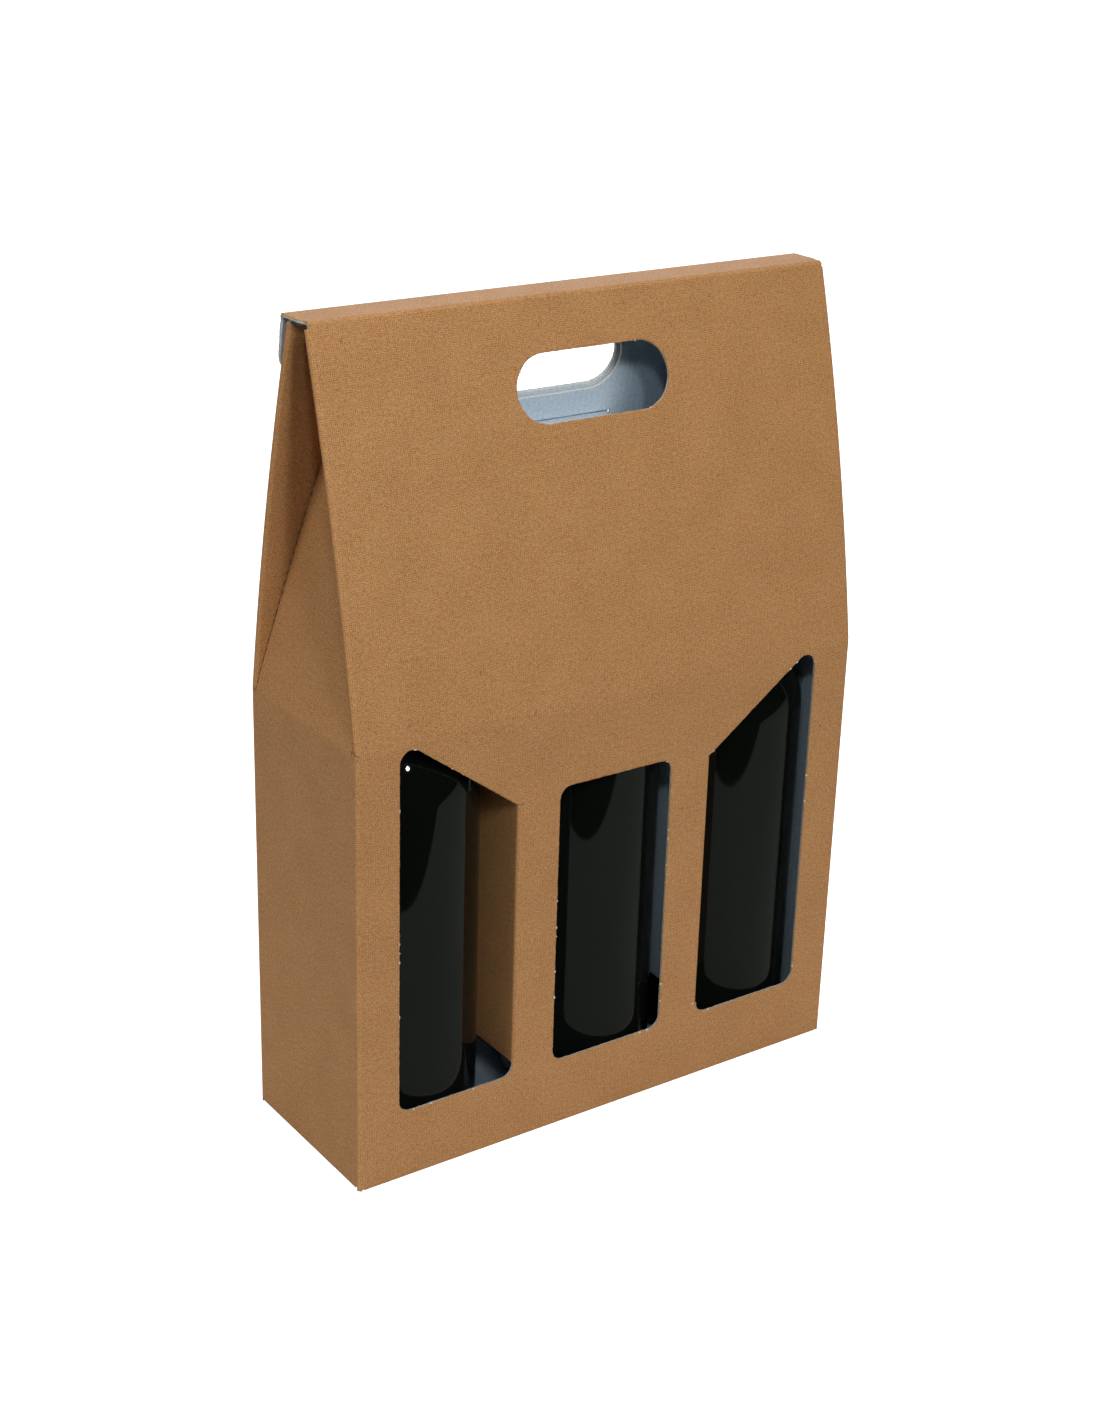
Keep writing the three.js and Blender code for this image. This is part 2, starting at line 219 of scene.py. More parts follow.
def flat_sheet(name, outlines, runs, folds):
    """Triangles of an outline with holes, with points along its creases and in from its cut edges.

    Gives the points, the triangles, and which points lie on a crushed cut edge."""
    rng = np.random.default_rng(zlib.crc32(name.encode()))
    loops, raw, edges, near = [], [], [], []
    first = 0
    for points, on_cut in map(walk, outlines):
        along = np.roll(points, -1, axis=0) - np.roll(points, 1, axis=0)
        across = np.stack([-along[:, 1], along[:, 0]], 1) / np.linalg.norm(along, axis=1)[:, None]
        near += [points[on_cut] + hand * row * crush_width * across[on_cut]
                 for hand in (-1, 1) for row in crush_rows]
        wander = rng.normal(0, rag, len(points)).clip(-2 * rag, 2 * rag) * on_cut
        loops.append(points + across * wander[:, None])
        raw.append(on_cut)
        edges += [(first + i, first + (i + 1) % len(points)) for i in range(len(points))]
        first += len(points)
    rim, raw, near = np.concatenate(loops), np.concatenate(raw), np.concatenate(near)
    near = near[inside(near, loops)]
    clear = np.array([np.hypot(*(rim - spot).T).min() for spot in near])
    near = near[clear > least_room]
    spots = [*rim, *near]
    low, high = rim.min(0), rim.max(0)
    for axis, levels in ((1, runs), (0, folds)):
        for level in levels:
            if low[axis] + tiny < level < high[axis] - tiny:
                ends = [low[1 - axis] - board, high[1 - axis] + board]
                steps = [at + hand * row * crush_width for at in crossings(loops, axis, level)
                         for hand in (-1, 1) for row in crush_rows]
                chain = np.array([(at, level) if axis else (level, at) for at in sorted(ends + steps)])
                edges += [(len(spots) + k, len(spots) + k + 1) for k in range(len(chain) - 1)]
                spots += [*chain]
    flat, _, faces, origins, _, _ = delaunay_2d_cdt([Vector(s) for s in spots], edges, [], 0, weld)
    flat = np.array([spot[:] for spot in flat])
    faces = np.array(faces)
    faces = faces[inside(flat[faces].mean(axis=1), loops)]
    crushed = np.array([bool(of) and min(of) < len(raw) and bool(raw[min(of)]) for of in origins])
    used, faces = np.unique(faces, return_inverse=True)
    return flat[used], faces.reshape(-1, 3), crushed[used]


def board_sheet(name, outlines, runs, place, flat, folds=()):
    """A die-cut sheet of the board as an object, bent to its place.

    place(u, run, depth) gives a point of the sheet in the frame and flat(u, run) its place on the flat
    board, across and along the flutes."""
    spots, faces, crushed = flat_sheet(name, outlines, runs, folds)
    top = np.array([place(u, run, 0) for u, run in spots])
    under = np.array([place(u, run, board) for u, run in spots])
    normals = (top - under) / np.linalg.norm(top - under, axis=1)[:, None]
    ways = np.cross(top[faces[:, 1]] - top[faces[:, 0]], top[faces[:, 2]] - top[faces[:, 0]])
    if (ways * normals[faces[:, 0]]).sum() < 0:
        faces = faces[:, ::-1]
    owner = {(a, b): c for tri in faces for a, b, c in (tri, np.roll(tri, 1), np.roll(tri, 2))}
    rim = [(a, b, c) for (a, b), c in owner.items() if (b, a) not in owner]
    beside = {}
    outward = np.zeros_like(top)
    for a, b, c in rim:
        beside.setdefault(a, []).append(b)
        beside.setdefault(b, []).append(a)
        edge = top[b] - top[a]
        away = top[a] - top[c]
        away = away - edge * (away @ edge) / (edge @ edge)
        outward[[a, b]] += away / np.linalg.norm(away)
    on_rim = np.zeros(len(spots), bool)
    on_rim[list(beside)] = True
    dipped = np.array([on_rim[i] and (crushed[i] or all(crushed[n] for n in beside[i]))
                       for i in range(len(spots))])
    top = top - normals * crush_dip * dipped[:, None]
    under = under + normals * crush_dip * dipped[:, None]
    lean = outward * dipped[:, None] * crush_lean
    tops = normals + lean
    unders = lean - normals
    count = len(spots)
    walls = [(b, a, a + count, b + count) for a, b, _ in rim]
    mesh = bpy.data.meshes.new(name)
    mesh.from_pydata(np.concatenate([top, under]).tolist(), [],
                     [*faces.tolist(), *(faces[:, ::-1] + count).tolist(), *walls])
    mesh.polygons.foreach_set("material_index",
                              [0] * len(faces) + [1] * len(faces) + [2] * len(walls))
    where = np.array([flat(u, run) for u, run in spots])
    corners = [*where[faces].reshape(-1, 2), *where[faces[:, ::-1]].reshape(-1, 2)]
    facing = [*tops[faces].reshape(-1, 3), *unders[faces[:, ::-1]].reshape(-1, 3)]
    for b, a, low_a, low_b in walls:
        corners += [(where[i % count][0], depth) for i, depth in
                    ((b, 0), (a, 0), (low_a, board), (low_b, board))]
        side = np.cross(top[a] - top[b], under[a] - top[b])
        facing += [side / max(np.linalg.norm(side), least_area)] * 4
    mesh.uv_layers.new(name="sheet").uv.foreach_set("vector", np.array(corners, np.float32).ravel())
    mesh.shade_smooth()
    mesh.normals_split_custom_set([Vector(n).normalized() for n in facing])
    for finish in (kraft_paper, white_liner, cut_edge):
        mesh.materials.append(finish)
    made = bpy.data.objects.new(name, mesh)
    bpy.context.scene.collection.objects.link(made)
    return made


def shade_group(name, inputs, outputs):
    """An empty shader node group with named float or vector inputs and outputs."""
    group = bpy.data.node_groups.new(name, "ShaderNodeTree")
    for label, kind, value in inputs:
        socket = group.interface.new_socket(label, in_out="INPUT", socket_type=kind)
        if value is not None:
            socket.default_value = value
    for label, kind in outputs:
        group.interface.new_socket(label, in_out="OUTPUT", socket_type=kind)
    return group, group.nodes.new("NodeGroupInput"), group.nodes.new("NodeGroupOutput")


def maths(tree, operation, *values):
    """A Math node in a tree; each value is a number or a socket."""
    node = tree.nodes.new("ShaderNodeMath")
    node.operation = operation
    for socket, value in zip(node.inputs, values):
        if isinstance(value, bpy.types.NodeSocket):
            tree.links.new(value, socket)
        else:
            socket.default_value = value
    return node.outputs[0]


def noise(tree, vector, scale, detail=2.0, stretch=(1, 1, 1)):
    """The value of a Noise Texture on a stretched vector."""
    mapping = tree.nodes.new("ShaderNodeMapping")
    mapping.inputs["Scale"].default_value = stretch
    tree.links.new(vector, mapping.inputs["Vector"])
    node = tree.nodes.new("ShaderNodeTexNoise")
    node.inputs["Detail"].default_value = detail
    tree.links.new(mapping.outputs[0], node.inputs["Vector"])
    if isinstance(scale, bpy.types.NodeSocket):
        tree.links.new(scale, node.inputs["Scale"])
    else:
        node.inputs["Scale"].default_value = scale
    return node.outputs["Fac"]


def centred(tree, value, share):
    """A noise value moved to either side of nought and scaled to its share of a tone."""
    return maths(tree, "MULTIPLY_ADD", value, share, -share / 2)


def held(tree, value):
    """A value kept between nought and one."""
    return maths(tree, "MINIMUM", maths(tree, "MAXIMUM", value, 0.0), 1.0)


# Paper grain: matted fibres, cloudy patches and a faint linen mark of the drying felt.
felt_scale, patch_scale, fleck_scale = 560.0, 130.0, 620.0
fibre_stretch, fleck_stretch = (1, 0.9, 1), (1, 0.4, 1)
fibre_share, felt_share, cloud_share, linen_share = 2.4, 0.76, 0.30, 0.26
linen_rise = 0.16
patch_limit, patch_ease = 0.7, 0.1
warmth_gain, warmth_start = 2.4, -0.7
fleck_least, fleck_gain = 0.68, 9.0
paper_grain, grain_in, grain_out = shade_group(
    "paper_grain",
    [("Place", "NodeSocketVector", None), ("Fibre", "NodeSocketFloat", 2000.0),
     ("Cloud", "NodeSocketFloat", 45.0), ("Linen pitch", "NodeSocketFloat", 0.0009)],
    [("Tone", "NodeSocketFloat"), ("Warmth", "NodeSocketFloat"), ("Fleck", "NodeSocketFloat"),
     ("Height", "NodeSocketFloat")])
fibre = noise(paper_grain, grain_in.outputs["Place"], grain_in.outputs["Fibre"], 1.0, fibre_stretch)
felt = noise(paper_grain, grain_in.outputs["Place"], felt_scale)
cloud = noise(paper_grain, grain_in.outputs["Place"], grain_in.outputs["Cloud"], 3.0)
patch = noise(paper_grain, grain_in.outputs["Place"], patch_scale, 1.0)
split = paper_grain.nodes.new("ShaderNodeSeparateXYZ")
paper_grain.links.new(grain_in.outputs["Place"], split.inputs[0])
threads = []
for axis in ("X", "Y"):
    turns = maths(paper_grain, "DIVIDE", split.outputs[axis], grain_in.outputs["Linen pitch"])
    threads.append(maths(paper_grain, "SINE", maths(paper_grain, "MULTIPLY", turns, 2 * math.pi)))
linen = maths(paper_grain, "MULTIPLY", maths(paper_grain, "ADD", *threads),
              maths(paper_grain, "SMOOTH_MIN", patch, patch_limit, patch_ease))
tone = centred(paper_grain, fibre, fibre_share)
tone = maths(paper_grain, "ADD", tone, centred(paper_grain, felt, felt_share))
tone = maths(paper_grain, "ADD", tone, centred(paper_grain, cloud, cloud_share))
tone = maths(paper_grain, "ADD", tone, maths(paper_grain, "MULTIPLY_ADD", linen, linen_share, 0.5))
paper_grain.links.new(tone, grain_out.inputs["Tone"])
warmth = maths(paper_grain, "MULTIPLY_ADD", patch, warmth_gain, warmth_start)
paper_grain.links.new(warmth, grain_out.inputs["Warmth"])
fleck = noise(paper_grain, grain_in.outputs["Place"], fleck_scale, 1.0, fleck_stretch)
fleck = maths(paper_grain, "MULTIPLY", maths(paper_grain, "SUBTRACT", fleck, fleck_least), fleck_gain)
paper_grain.links.new(held(paper_grain, fleck), grain_out.inputs["Fleck"])
height = maths(paper_grain, "MULTIPLY_ADD", linen, linen_rise, fibre)
paper_grain.links.new(height, grain_out.inputs["Height"])

# Flute ribs: the waved middle layer that shows through both papers as soft upright ribs.
flute_ribs, ribs_in, ribs_out = shade_group(
    "flute_ribs",
    [("Place", "NodeSocketVector", None), ("Pitch", "NodeSocketFloat", 0.0032)],
    [("Wave", "NodeSocketFloat")])
split = flute_ribs.nodes.new("ShaderNodeSeparateXYZ")
flute_ribs.links.new(ribs_in.outputs["Place"], split.inputs[0])
turns = maths(flute_ribs, "DIVIDE", split.outputs["X"], ribs_in.outputs["Pitch"])
flute_ribs.links.new(maths(flute_ribs, "SINE", maths(flute_ribs, "MULTIPLY", turns, 2 * math.pi)),
                     ribs_out.inputs["Wave"])


def new_finish(name, roughness, colour=None):
    """A material with its node tree and its Principled shader."""
    finish = bpy.data.materials.new(name)
    finish.use_nodes = True
    tree = finish.node_tree
    shader = tree.nodes["Principled BSDF"]
    shader.inputs["Roughness"].default_value = roughness
    if colour:
        shader.inputs["Base Color"].default_value = (*colour, 1)
    return finish, tree, shader


def sheet_place(tree):
    """The place on the flat board, across and along the flutes."""
    node = tree.nodes.new("ShaderNodeUVMap")
    node.uv_map = "sheet"
    return node.outputs["UV"]


def object_place(tree):
    return tree.nodes.new("ShaderNodeTexCoord").outputs["Object"]


def use_group(tree, group, place, **values):
    """A shared node group in a tree, read at a place, with some of its inputs set."""
    node = tree.nodes.new("ShaderNodeGroup")
    node.node_tree = group
    tree.links.new(place, node.inputs["Place"])
    for label, value in values.items():
        node.inputs[label.replace("_", " ")].default_value = value
    return node


def colour_ramp(tree, factor, stops):
    """Colours along a factor, from (place, colour) stops."""
    ramp = tree.nodes.new("ShaderNodeValToRGB")
    for i, (place, colour) in enumerate(stops):
        stop = ramp.color_ramp.elements[i] if i < 2 else ramp.color_ramp.elements.new(place)
        stop.position = place
        stop.color = (*colour, 1)
    tree.links.new(factor, ramp.inputs[0])
    return ramp.outputs[0]


def mixed(tree, factor, one, other):
    """One colour turning to another with a factor; each is a colour or a socket."""
    node = tree.nodes.new("ShaderNodeMix")
    node.data_type = "RGBA"
    tree.links.new(factor, node.inputs["Factor"])
    for socket, value in ((node.inputs[6], one), (node.inputs[7], other)):
        if isinstance(value, bpy.types.NodeSocket):
            tree.links.new(value, socket)
        else:
            socket.default_value = (*value, 1)
    return node.outputs[2]


def raised(tree, shader, height, strength, distance):
    """A height that tilts the shader's normal."""
    bump = tree.nodes.new("ShaderNodeBump")
    bump.inputs["Strength"].default_value = strength
    bump.inputs["Distance"].default_value = distance
    tree.links.new(height, bump.inputs["Height"])
    tree.links.new(bump.outputs[0], shader.inputs["Normal"])


kraft_dark = (0.300, 0.133, 0.0440)
kraft_light = (0.665, 0.340, 0.137)
kraft_fleck = (0.190, 0.090, 0.036)
kraft_warm = (1.01, 0.99, 0.95)
kraft_cool = (0.99, 1.02, 1.03)
kraft_fleck_share = 0.5
kraft_rough, kraft_shine = 0.80, 0.16
kraft_rib_rise = 0.10
paper_relief = 0.5
kraft_grain_height = 0.00009
kraft_paper, tree, shader = new_finish("kraft_paper", kraft_rough)
place = sheet_place(tree)
grain = use_group(tree, paper_grain, place)
ribs = use_group(tree, flute_ribs, place)
base = colour_ramp(tree, grain.outputs["Tone"], [(0.0, kraft_dark), (1.0, kraft_light)])
hue = mixed(tree, grain.outputs["Warmth"], kraft_cool, kraft_warm)
tinted = tree.nodes.new("ShaderNodeMix")
tinted.data_type = "RGBA"
tinted.blend_type = "MULTIPLY"
tinted.inputs["Factor"].default_value = 1
tree.links.new(base, tinted.inputs[6])
tree.links.new(hue, tinted.inputs[7])
base = tinted.outputs[2]
fleck = maths(tree, "MULTIPLY", grain.outputs["Fleck"], kraft_fleck_share)
tree.links.new(mixed(tree, fleck, base, kraft_fleck), shader.inputs["Base Color"])
tree.links.new(maths(tree, "MULTIPLY_ADD", grain.outputs["Tone"], -kraft_shine, kraft_rough),
               shader.inputs["Roughness"])
height = maths(tree, "MULTIPLY_ADD", ribs.outputs["Wave"], kraft_rib_rise, grain.outputs["Height"])
raised(tree, shader, height, paper_relief, kraft_grain_height)

liner_dark = (0.540, 0.640, 0.725)
liner_light = (0.655, 0.755, 0.840)
liner_rib_tone, liner_rib_rise = 0.10, 0.5
liner_rough, liner_shine = 0.5, 0.2
liner_grain_height = 0.00010
white_liner, tree, shader = new_finish("white_liner", liner_rough)
place = sheet_place(tree)
grain = use_group(tree, paper_grain, place, Fibre=700.0, Cloud=60.0)
ribs = use_group(tree, flute_ribs, place)
tone = maths(tree, "MULTIPLY_ADD", ribs.outputs["Wave"], liner_rib_tone, grain.outputs["Tone"])
tree.links.new(colour_ramp(tree, tone, [(0.1, liner_dark), (0.9, liner_light)]),
               shader.inputs["Base Color"])
tree.links.new(maths(tree, "MULTIPLY_ADD", grain.outputs["Tone"], liner_shine, liner_rough),
               shader.inputs["Roughness"])
height = maths(tree, "MULTIPLY_ADD", ribs.outputs["Wave"], liner_rib_rise, grain.outputs["Height"])
raised(tree, shader, height, paper_relief, liner_grain_height)

# Cut edge: a brown kraft layer at the face and a pale fluting core. The open flute hollows of the flat wall
# are painted dark, as painted shade of the channels, with a ragged noise edge.
core_pale = (0.620, 0.560, 0.470)
flute_hollow_shade = (0.150, 0.110, 0.075)
edge_brown = (0.360, 0.200, 0.090)
wave_middle, wave_swing, wave_half = 0.55, 0.20, 0.13
hollow_middle, hollow_half = 0.52, 0.3
hollow_gain, hollow_start = 1.4, -0.25
kraft_layer = 0.16
edge_rough = 0.95
edge_relief, edge_grain_height = 0.6, 0.0001
cut_edge, tree, shader = new_finish("cut_edge", edge_rough)
place = sheet_place(tree)
grain = use_group(tree, paper_grain, place, Fibre=2600.0, Cloud=400.0)
ribs = use_group(tree, flute_ribs, place)
split = tree.nodes.new("ShaderNodeSeparateXYZ")
tree.links.new(place, split.inputs[0])
depth = maths(tree, "DIVIDE", split.outputs["Y"], board)
wave = maths(tree, "MULTIPLY_ADD", ribs.outputs["Wave"], wave_swing, wave_middle)
off_wave = maths(tree, "ABSOLUTE", maths(tree, "SUBTRACT", depth, wave))
off_middle = maths(tree, "ABSOLUTE", maths(tree, "SUBTRACT", depth, hollow_middle))
# Mask of the flute hollows, where the painted shade goes.
hollow = maths(tree, "MULTIPLY", maths(tree, "GREATER_THAN", off_wave, wave_half),
               maths(tree, "LESS_THAN", off_middle, hollow_half))
ragged = maths(tree, "MULTIPLY_ADD", grain.outputs["Tone"], hollow_gain, hollow_start)
hollow = held(tree, maths(tree, "MULTIPLY", hollow, ragged))
pale = mixed(tree, maths(tree, "LESS_THAN", depth, kraft_layer), core_pale, edge_brown)
tree.links.new(mixed(tree, hollow, pale, flute_hollow_shade), shader.inputs["Base Color"])
raised(tree, shader, grain.outputs["Height"], edge_relief, edge_grain_height)

plan = CreaseLine([
    (seam_low.x, seam_high.y + seam_gap, 0),
    (half_width, seam_high.y + seam_gap, corner_radius),
    (half_width, -half_depth, corner_radius),
    (-half_width, -half_depth, corner_radius),
    (-half_width, half_depth, corner_radius),
    (half_width - seam_gap, half_depth, 0),
], 1)
plan_end = plan.runs[-1]


def on_front(x):
    return plan.find(x, -half_depth)


flat_x = half_width - corner_radius
flat_y = half_depth - corner_radius
right_back = plan.find(half_width, seam_high.y - corner_radius)
right_front = plan.find(half_width, -flat_y)
left_front = plan.find(-half_width, -flat_y)
left_back = plan.find(-half_width, flat_y)
back_left = plan.find(-flat_x, half_depth)
back_right = plan.find(flat_x, half_depth)
seam_bend = plan.find(flat_x, seam_high.y + seam_gap)


def sleeve_rim(face_level, side_level, corner_level, way):
    """The lower or upper rim of the sleeve, round from the glue flap to the end of the back panel."""
    stops = [(seam_bend, corner_level), (right_back, corner_level), (right_back, side_level),
             (right_front, side_level), (right_front, corner_level), (on_front(flat_x), corner_level),
             (on_front(flat_x), face_level), (on_front(-flat_x), face_level),
             (on_front(-flat_x), corner_level), (left_front, corner_level), (left_front, side_level),
             (left_back, side_level), (left_back, corner_level), (back_left, corner_level),
             (back_left, face_level), (back_right, face_level), (back_right, corner_level),
             (plan_end, corner_level)]
    edges = [cut, seam, seam, seam, cut, seam, seam, seam, cut, seam, seam, seam, cut, seam, seam,
             seam, cut]
    kinds = [*edges, cut] if way > 0 else [cut, *edges]
    rim = [(level, run, 0, kind) for (run, level), kind in zip(stops, kinds)]
    return rim if way > 0 else rim[::-1]


def side_window(side):
    """An outer window, with room beside its inner edge for the strip that the divider hangs on."""
    corners = [
        (divider_foot, window_inner - hinge_strip, 0, cut),
        (divider_foot - relief, window_inner, 0, cut),
        (window_sill, window_inner, window_radius, cut),
        (window_sill, window_outer, window_radius, cut),
        (window_peak, window_outer, window_radius, cut),
        (window_shoulder, window_inner, 0, cut),
        (window_shoulder - relief, window_inner - hinge_strip, 0, seam),
    ]
    return [(z, on_front(side * x), radius, kind) for z, x, radius, kind in corners]


middle_window = [
    (window_sill, on_front(-middle_half), window_radius, cut),
    (window_sill, on_front(middle_half), window_radius, cut),
    (middle_head, on_front(middle_half), window_radius, cut),
    (middle_head, on_front(-middle_half), window_radius, cut),
]
sleeve_outline = [
    (seam_low.z + seam_slant, 0, 0, cut),
    *sleeve_rim(sleeve_foot, side_foot, corner_foot, 1),
    *sleeve_rim(sleeve_top, sleeve_top, corner_top, -1),
    (corner_top - seam_slant, 0, 0, cut),
]


def sleeve_place(z, run, depth):
    return Vector((*plan.at(run, depth), z))


windows = [side_window(-1), middle_window, side_window(1)]
sleeve = board_sheet("sleeve", [sleeve_outline, *windows], plan.runs, sleeve_place,
                     lambda z, run: (run, z))
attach(sleeve, "carton")
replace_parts(sleeve, "front_panel", "back_panel", "left_side_panel", "right_side_panel", "glue_flap")


def scatter_tree(name):
    """Small grains set at steps along lines, as a Geometry Nodes tree."""
    tree = bpy.data.node_groups.new(name, "GeometryNodeTree")
    for label, kind in (("Line", "NodeSocketGeometry"), ("Spacing", "NodeSocketFloat"),
                        ("Share kept", "NodeSocketFloat"), ("Least size", "NodeSocketVector"),
                        ("Most size", "NodeSocketVector"), ("Seed", "NodeSocketInt"),
                        ("Finish", "NodeSocketMaterial")):
        tree.interface.new_socket(label, in_out="INPUT", socket_type=kind)
    tree.interface.new_socket("Grains", in_out="OUTPUT", socket_type="NodeSocketGeometry")
    source, result = tree.nodes.new("NodeGroupInput"), tree.nodes.new("NodeGroupOutput")
    line = tree.nodes.new("GeometryNodeMeshToCurve")
    spots = tree.nodes.new("GeometryNodeCurveToPoints")
    spots.mode = "LENGTH"
    kept = tree.nodes.new("FunctionNodeRandomValue")
    kept.data_type = "BOOLEAN"
    size = tree.nodes.new("FunctionNodeRandomValue")
    size.data_type = "FLOAT_VECTOR"
    grain = tree.nodes.new("GeometryNodeMeshIcoSphere")
    grains = tree.nodes.new("GeometryNodeInstanceOnPoints")
    solid = tree.nodes.new("GeometryNodeRealizeInstances")
    finish = tree.nodes.new("GeometryNodeSetMaterial")
    for start, end in (
            (source.outputs["Line"], line.inputs["Mesh"]), (line.outputs["Curve"], spots.inputs["Curve"]),
            (source.outputs["Spacing"], spots.inputs["Length"]),
            (source.outputs["Share kept"], kept.inputs["Probability"]),
            (source.outputs["Seed"], kept.inputs["Seed"]), (source.outputs["Seed"], size.inputs["Seed"]),
            (source.outputs["Least size"], size.inputs[0]), (source.outputs["Most size"], size.inputs[1]),
            (spots.outputs["Points"], grains.inputs["Points"]), (kept.outputs[3], grains.inputs["Selection"]),
            (grain.outputs["Mesh"], grains.inputs["Instance"]),
            (spots.outputs["Rotation"], grains.inputs["Rotation"]), (size.outputs[0], grains.inputs["Scale"]),
            (grains.outputs["Instances"], solid.inputs["Geometry"]),
            (solid.outputs["Geometry"], finish.inputs["Geometry"]),
            (source.outputs["Finish"], finish.inputs["Material"]),
            (finish.outputs["Geometry"], result.inputs["Grains"])):
        tree.links.new(start, end)
    return tree


edge_grains = scatter_tree("edge_grains")


def grains_along(name, lines, body, finish, spacing, kept, least, most, seed):
    """One mesh of the grains along lines of points, riding on a body."""
    points, edges = [], []
    for line in lines:
        edges += [(len(points) + k, len(points) + k + 1) for k in range(len(line) - 1)]
        points += line
    guide_mesh = bpy.data.meshes.new(f"{name}_line")
    guide_mesh.from_pydata(points, edges, [])
    guide = bpy.data.objects.new(f"{name}_line", guide_mesh)
    bpy.context.scene.collection.objects.link(guide)
    nodes = guide.modifiers.new("grains", "NODES")
    nodes.node_group = edge_grains
    values = {"Spacing": spacing, "Share kept": kept, "Least size": least, "Most size": most, "Seed": seed,
              "Finish": finish}
    for socket in edge_grains.interface.items_tree:
        if socket.name in values:
            nodes[socket.identifier] = values[socket.name]
    mesh = bpy.data.meshes.new_from_object(guide.evaluated_get(bpy.context.evaluated_depsgraph_get()))
    bpy.data.objects.remove(guide)
    mesh.name = name
    mesh.shade_smooth()
    made = bpy.data.objects.new(name, mesh)
    bpy.context.scene.collection.objects.link(made)
    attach(made, body)
    return made


def cut_lines(outlines, place, depth):
    """The die-cut stretches of outlines as lines of points at a depth under the kraft face."""
    lines = []
    for points, on_cut in map(walk, outlines):
        line = []
        for (u, run), raw in zip(points, on_cut):
            if raw:
                line.append(place(u, run, depth))
            elif line:
                lines.append(line)
                line = []
        lines.append(line)
    return [line for line in lines if len(line) > 1]


fibre_white = (0.780, 0.760, 0.710)
fibre_brown = (0.400, 0.270, 0.150)
fibre_rough = 0.9
tuft_scale = 900.0
torn_fibre, tree, shader = new_finish("torn_fibre", fibre_rough)
tufts = noise(tree, object_place(tree), tuft_scale)
tree.links.new(colour_ramp(tree, tufts, [(0.36, fibre_brown), (0.44, fibre_white)]),
               shader.inputs["Base Color"])
tear_depth = 0.22 * board
tear_spacing = 0.0045
tear_share = 0.16
tear_least = (0.00025, 0.00025, 0.0004)
window_tear_most = (0.00055, 0.00055, 0.0012)
window_tear_seed = 7
grains_along("window_nicks", cut_lines(windows, sleeve_place, tear_depth), "carton", torn_fibre,
             tear_spacing, tear_share, tear_least, window_tear_most, window_tear_seed)

# Base: four flaps of the same board, folded in under the panels. The front and back flaps lock into
# each other with a tongue, below the two side flaps that carry the outer bottles.
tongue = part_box("front_base_flap")[1].y
tongue_half = 0.045
base_gap = 0.0003
flap_side = half_width - 0.0125
flap_taper = 0.0062
side_flap_low, side_flap_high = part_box("left_base_flap")
side_flap_chamfer = 0.012
side_flap_rise = 0.010
side_flap_taper = 0.007
base_bend = 0.0012
rim_overlap = 1e-5


def base_flap(name, face, reach):
    """A long base flap; face is -1 in front and +1 at the back, and reach tells how far past the middle
    its outer and middle parts go."""
    line = CreaseLine([(-max(reach), 0, 0), (half_depth, 0, base_bend),
                       (half_depth, sleeve_foot + rim_overlap, 0)], -1)
    run = {part: line.find(-part, 0) for part in reach}
    outer, middle = run[reach[0]], run[reach[1]]
    end = line.runs[-1]
    outline = [
        (-flap_side, outer, 0, cut), (-tongue_half - tongue, outer, 0, cut),
        (-tongue_half + tongue, middle, 0, cut), (tongue_half - tongue, middle, 0, cut),
        (tongue_half + tongue, outer, 0, cut), (flap_side, outer, 0, cut),
        (flap_side, line.find(flat_y - flap_taper, 0), 0, cut), (flat_x, end, 0, seam),
        (-flat_x, end, 0, cut), (-flap_side, line.find(flat_y - flap_taper, 0), 0, cut),
    ]

    def place(x, run, depth):
        spot = line.at(run, depth)
        return Vector((x, face * spot.x, spot.y))

    flap = board_sheet(name, [outline], line.runs, place, lambda x, run: (x, run))
    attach(flap, "carton")
    return flap


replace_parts(base_flap("front_bottom_flap", -1, (tongue, -tongue - 2 * base_gap)), "front_base_flap")
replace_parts(base_flap("back_bottom_flap", 1, (-tongue - 2 * base_gap, tongue)), "back_base_flap")

for side, name in ((-1, "left"), (1, "right")):
    line = CreaseLine([(-side_flap_high.x, side_flap_low.z, 0),
                       (half_width - side_flap_rise, side_flap_low.z, side_flap_rise / 2),
                       (half_width, base_gap, base_bend), (half_width, side_foot + rim_overlap, 0)], -1)
    end = line.runs[-1]
    wide = flat_y - side_flap_taper
    chamfer = side_flap_chamfer
    taper_run = line.find(half_width - 2 * base_bend, side_flap_low.z)
    outline = [
        (-wide + chamfer, 0, 0, cut), (wide - chamfer, 0, 0, cut), (wide, chamfer, 0, cut),
        (wide, taper_run, 0, cut), (flat_y, end, 0, seam), (-flat_y, end, 0, cut),
        (-wide, taper_run, 0, cut), (-wide, chamfer, 0, cut),
    ]

    def side_flap_place(y, run, depth, line=line, side=side):
        spot = line.at(run, depth)
        return Vector((side * spot.x, y, spot.y))

    flap = board_sheet(f"{name}_bottom_flap", [outline], line.runs, side_flap_place, lambda y, run: (y, run))
    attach(flap, "carton")
    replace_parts(flap, f"{name}_base_flap")

# Dividers: the cut-outs of the outer windows, left on the board along their inner edges and turned
# inward, so the kraft face looks at the outer bottle and the white one at the middle bottle.
divider_bend = 0.0018
divider_trim = 0.0003

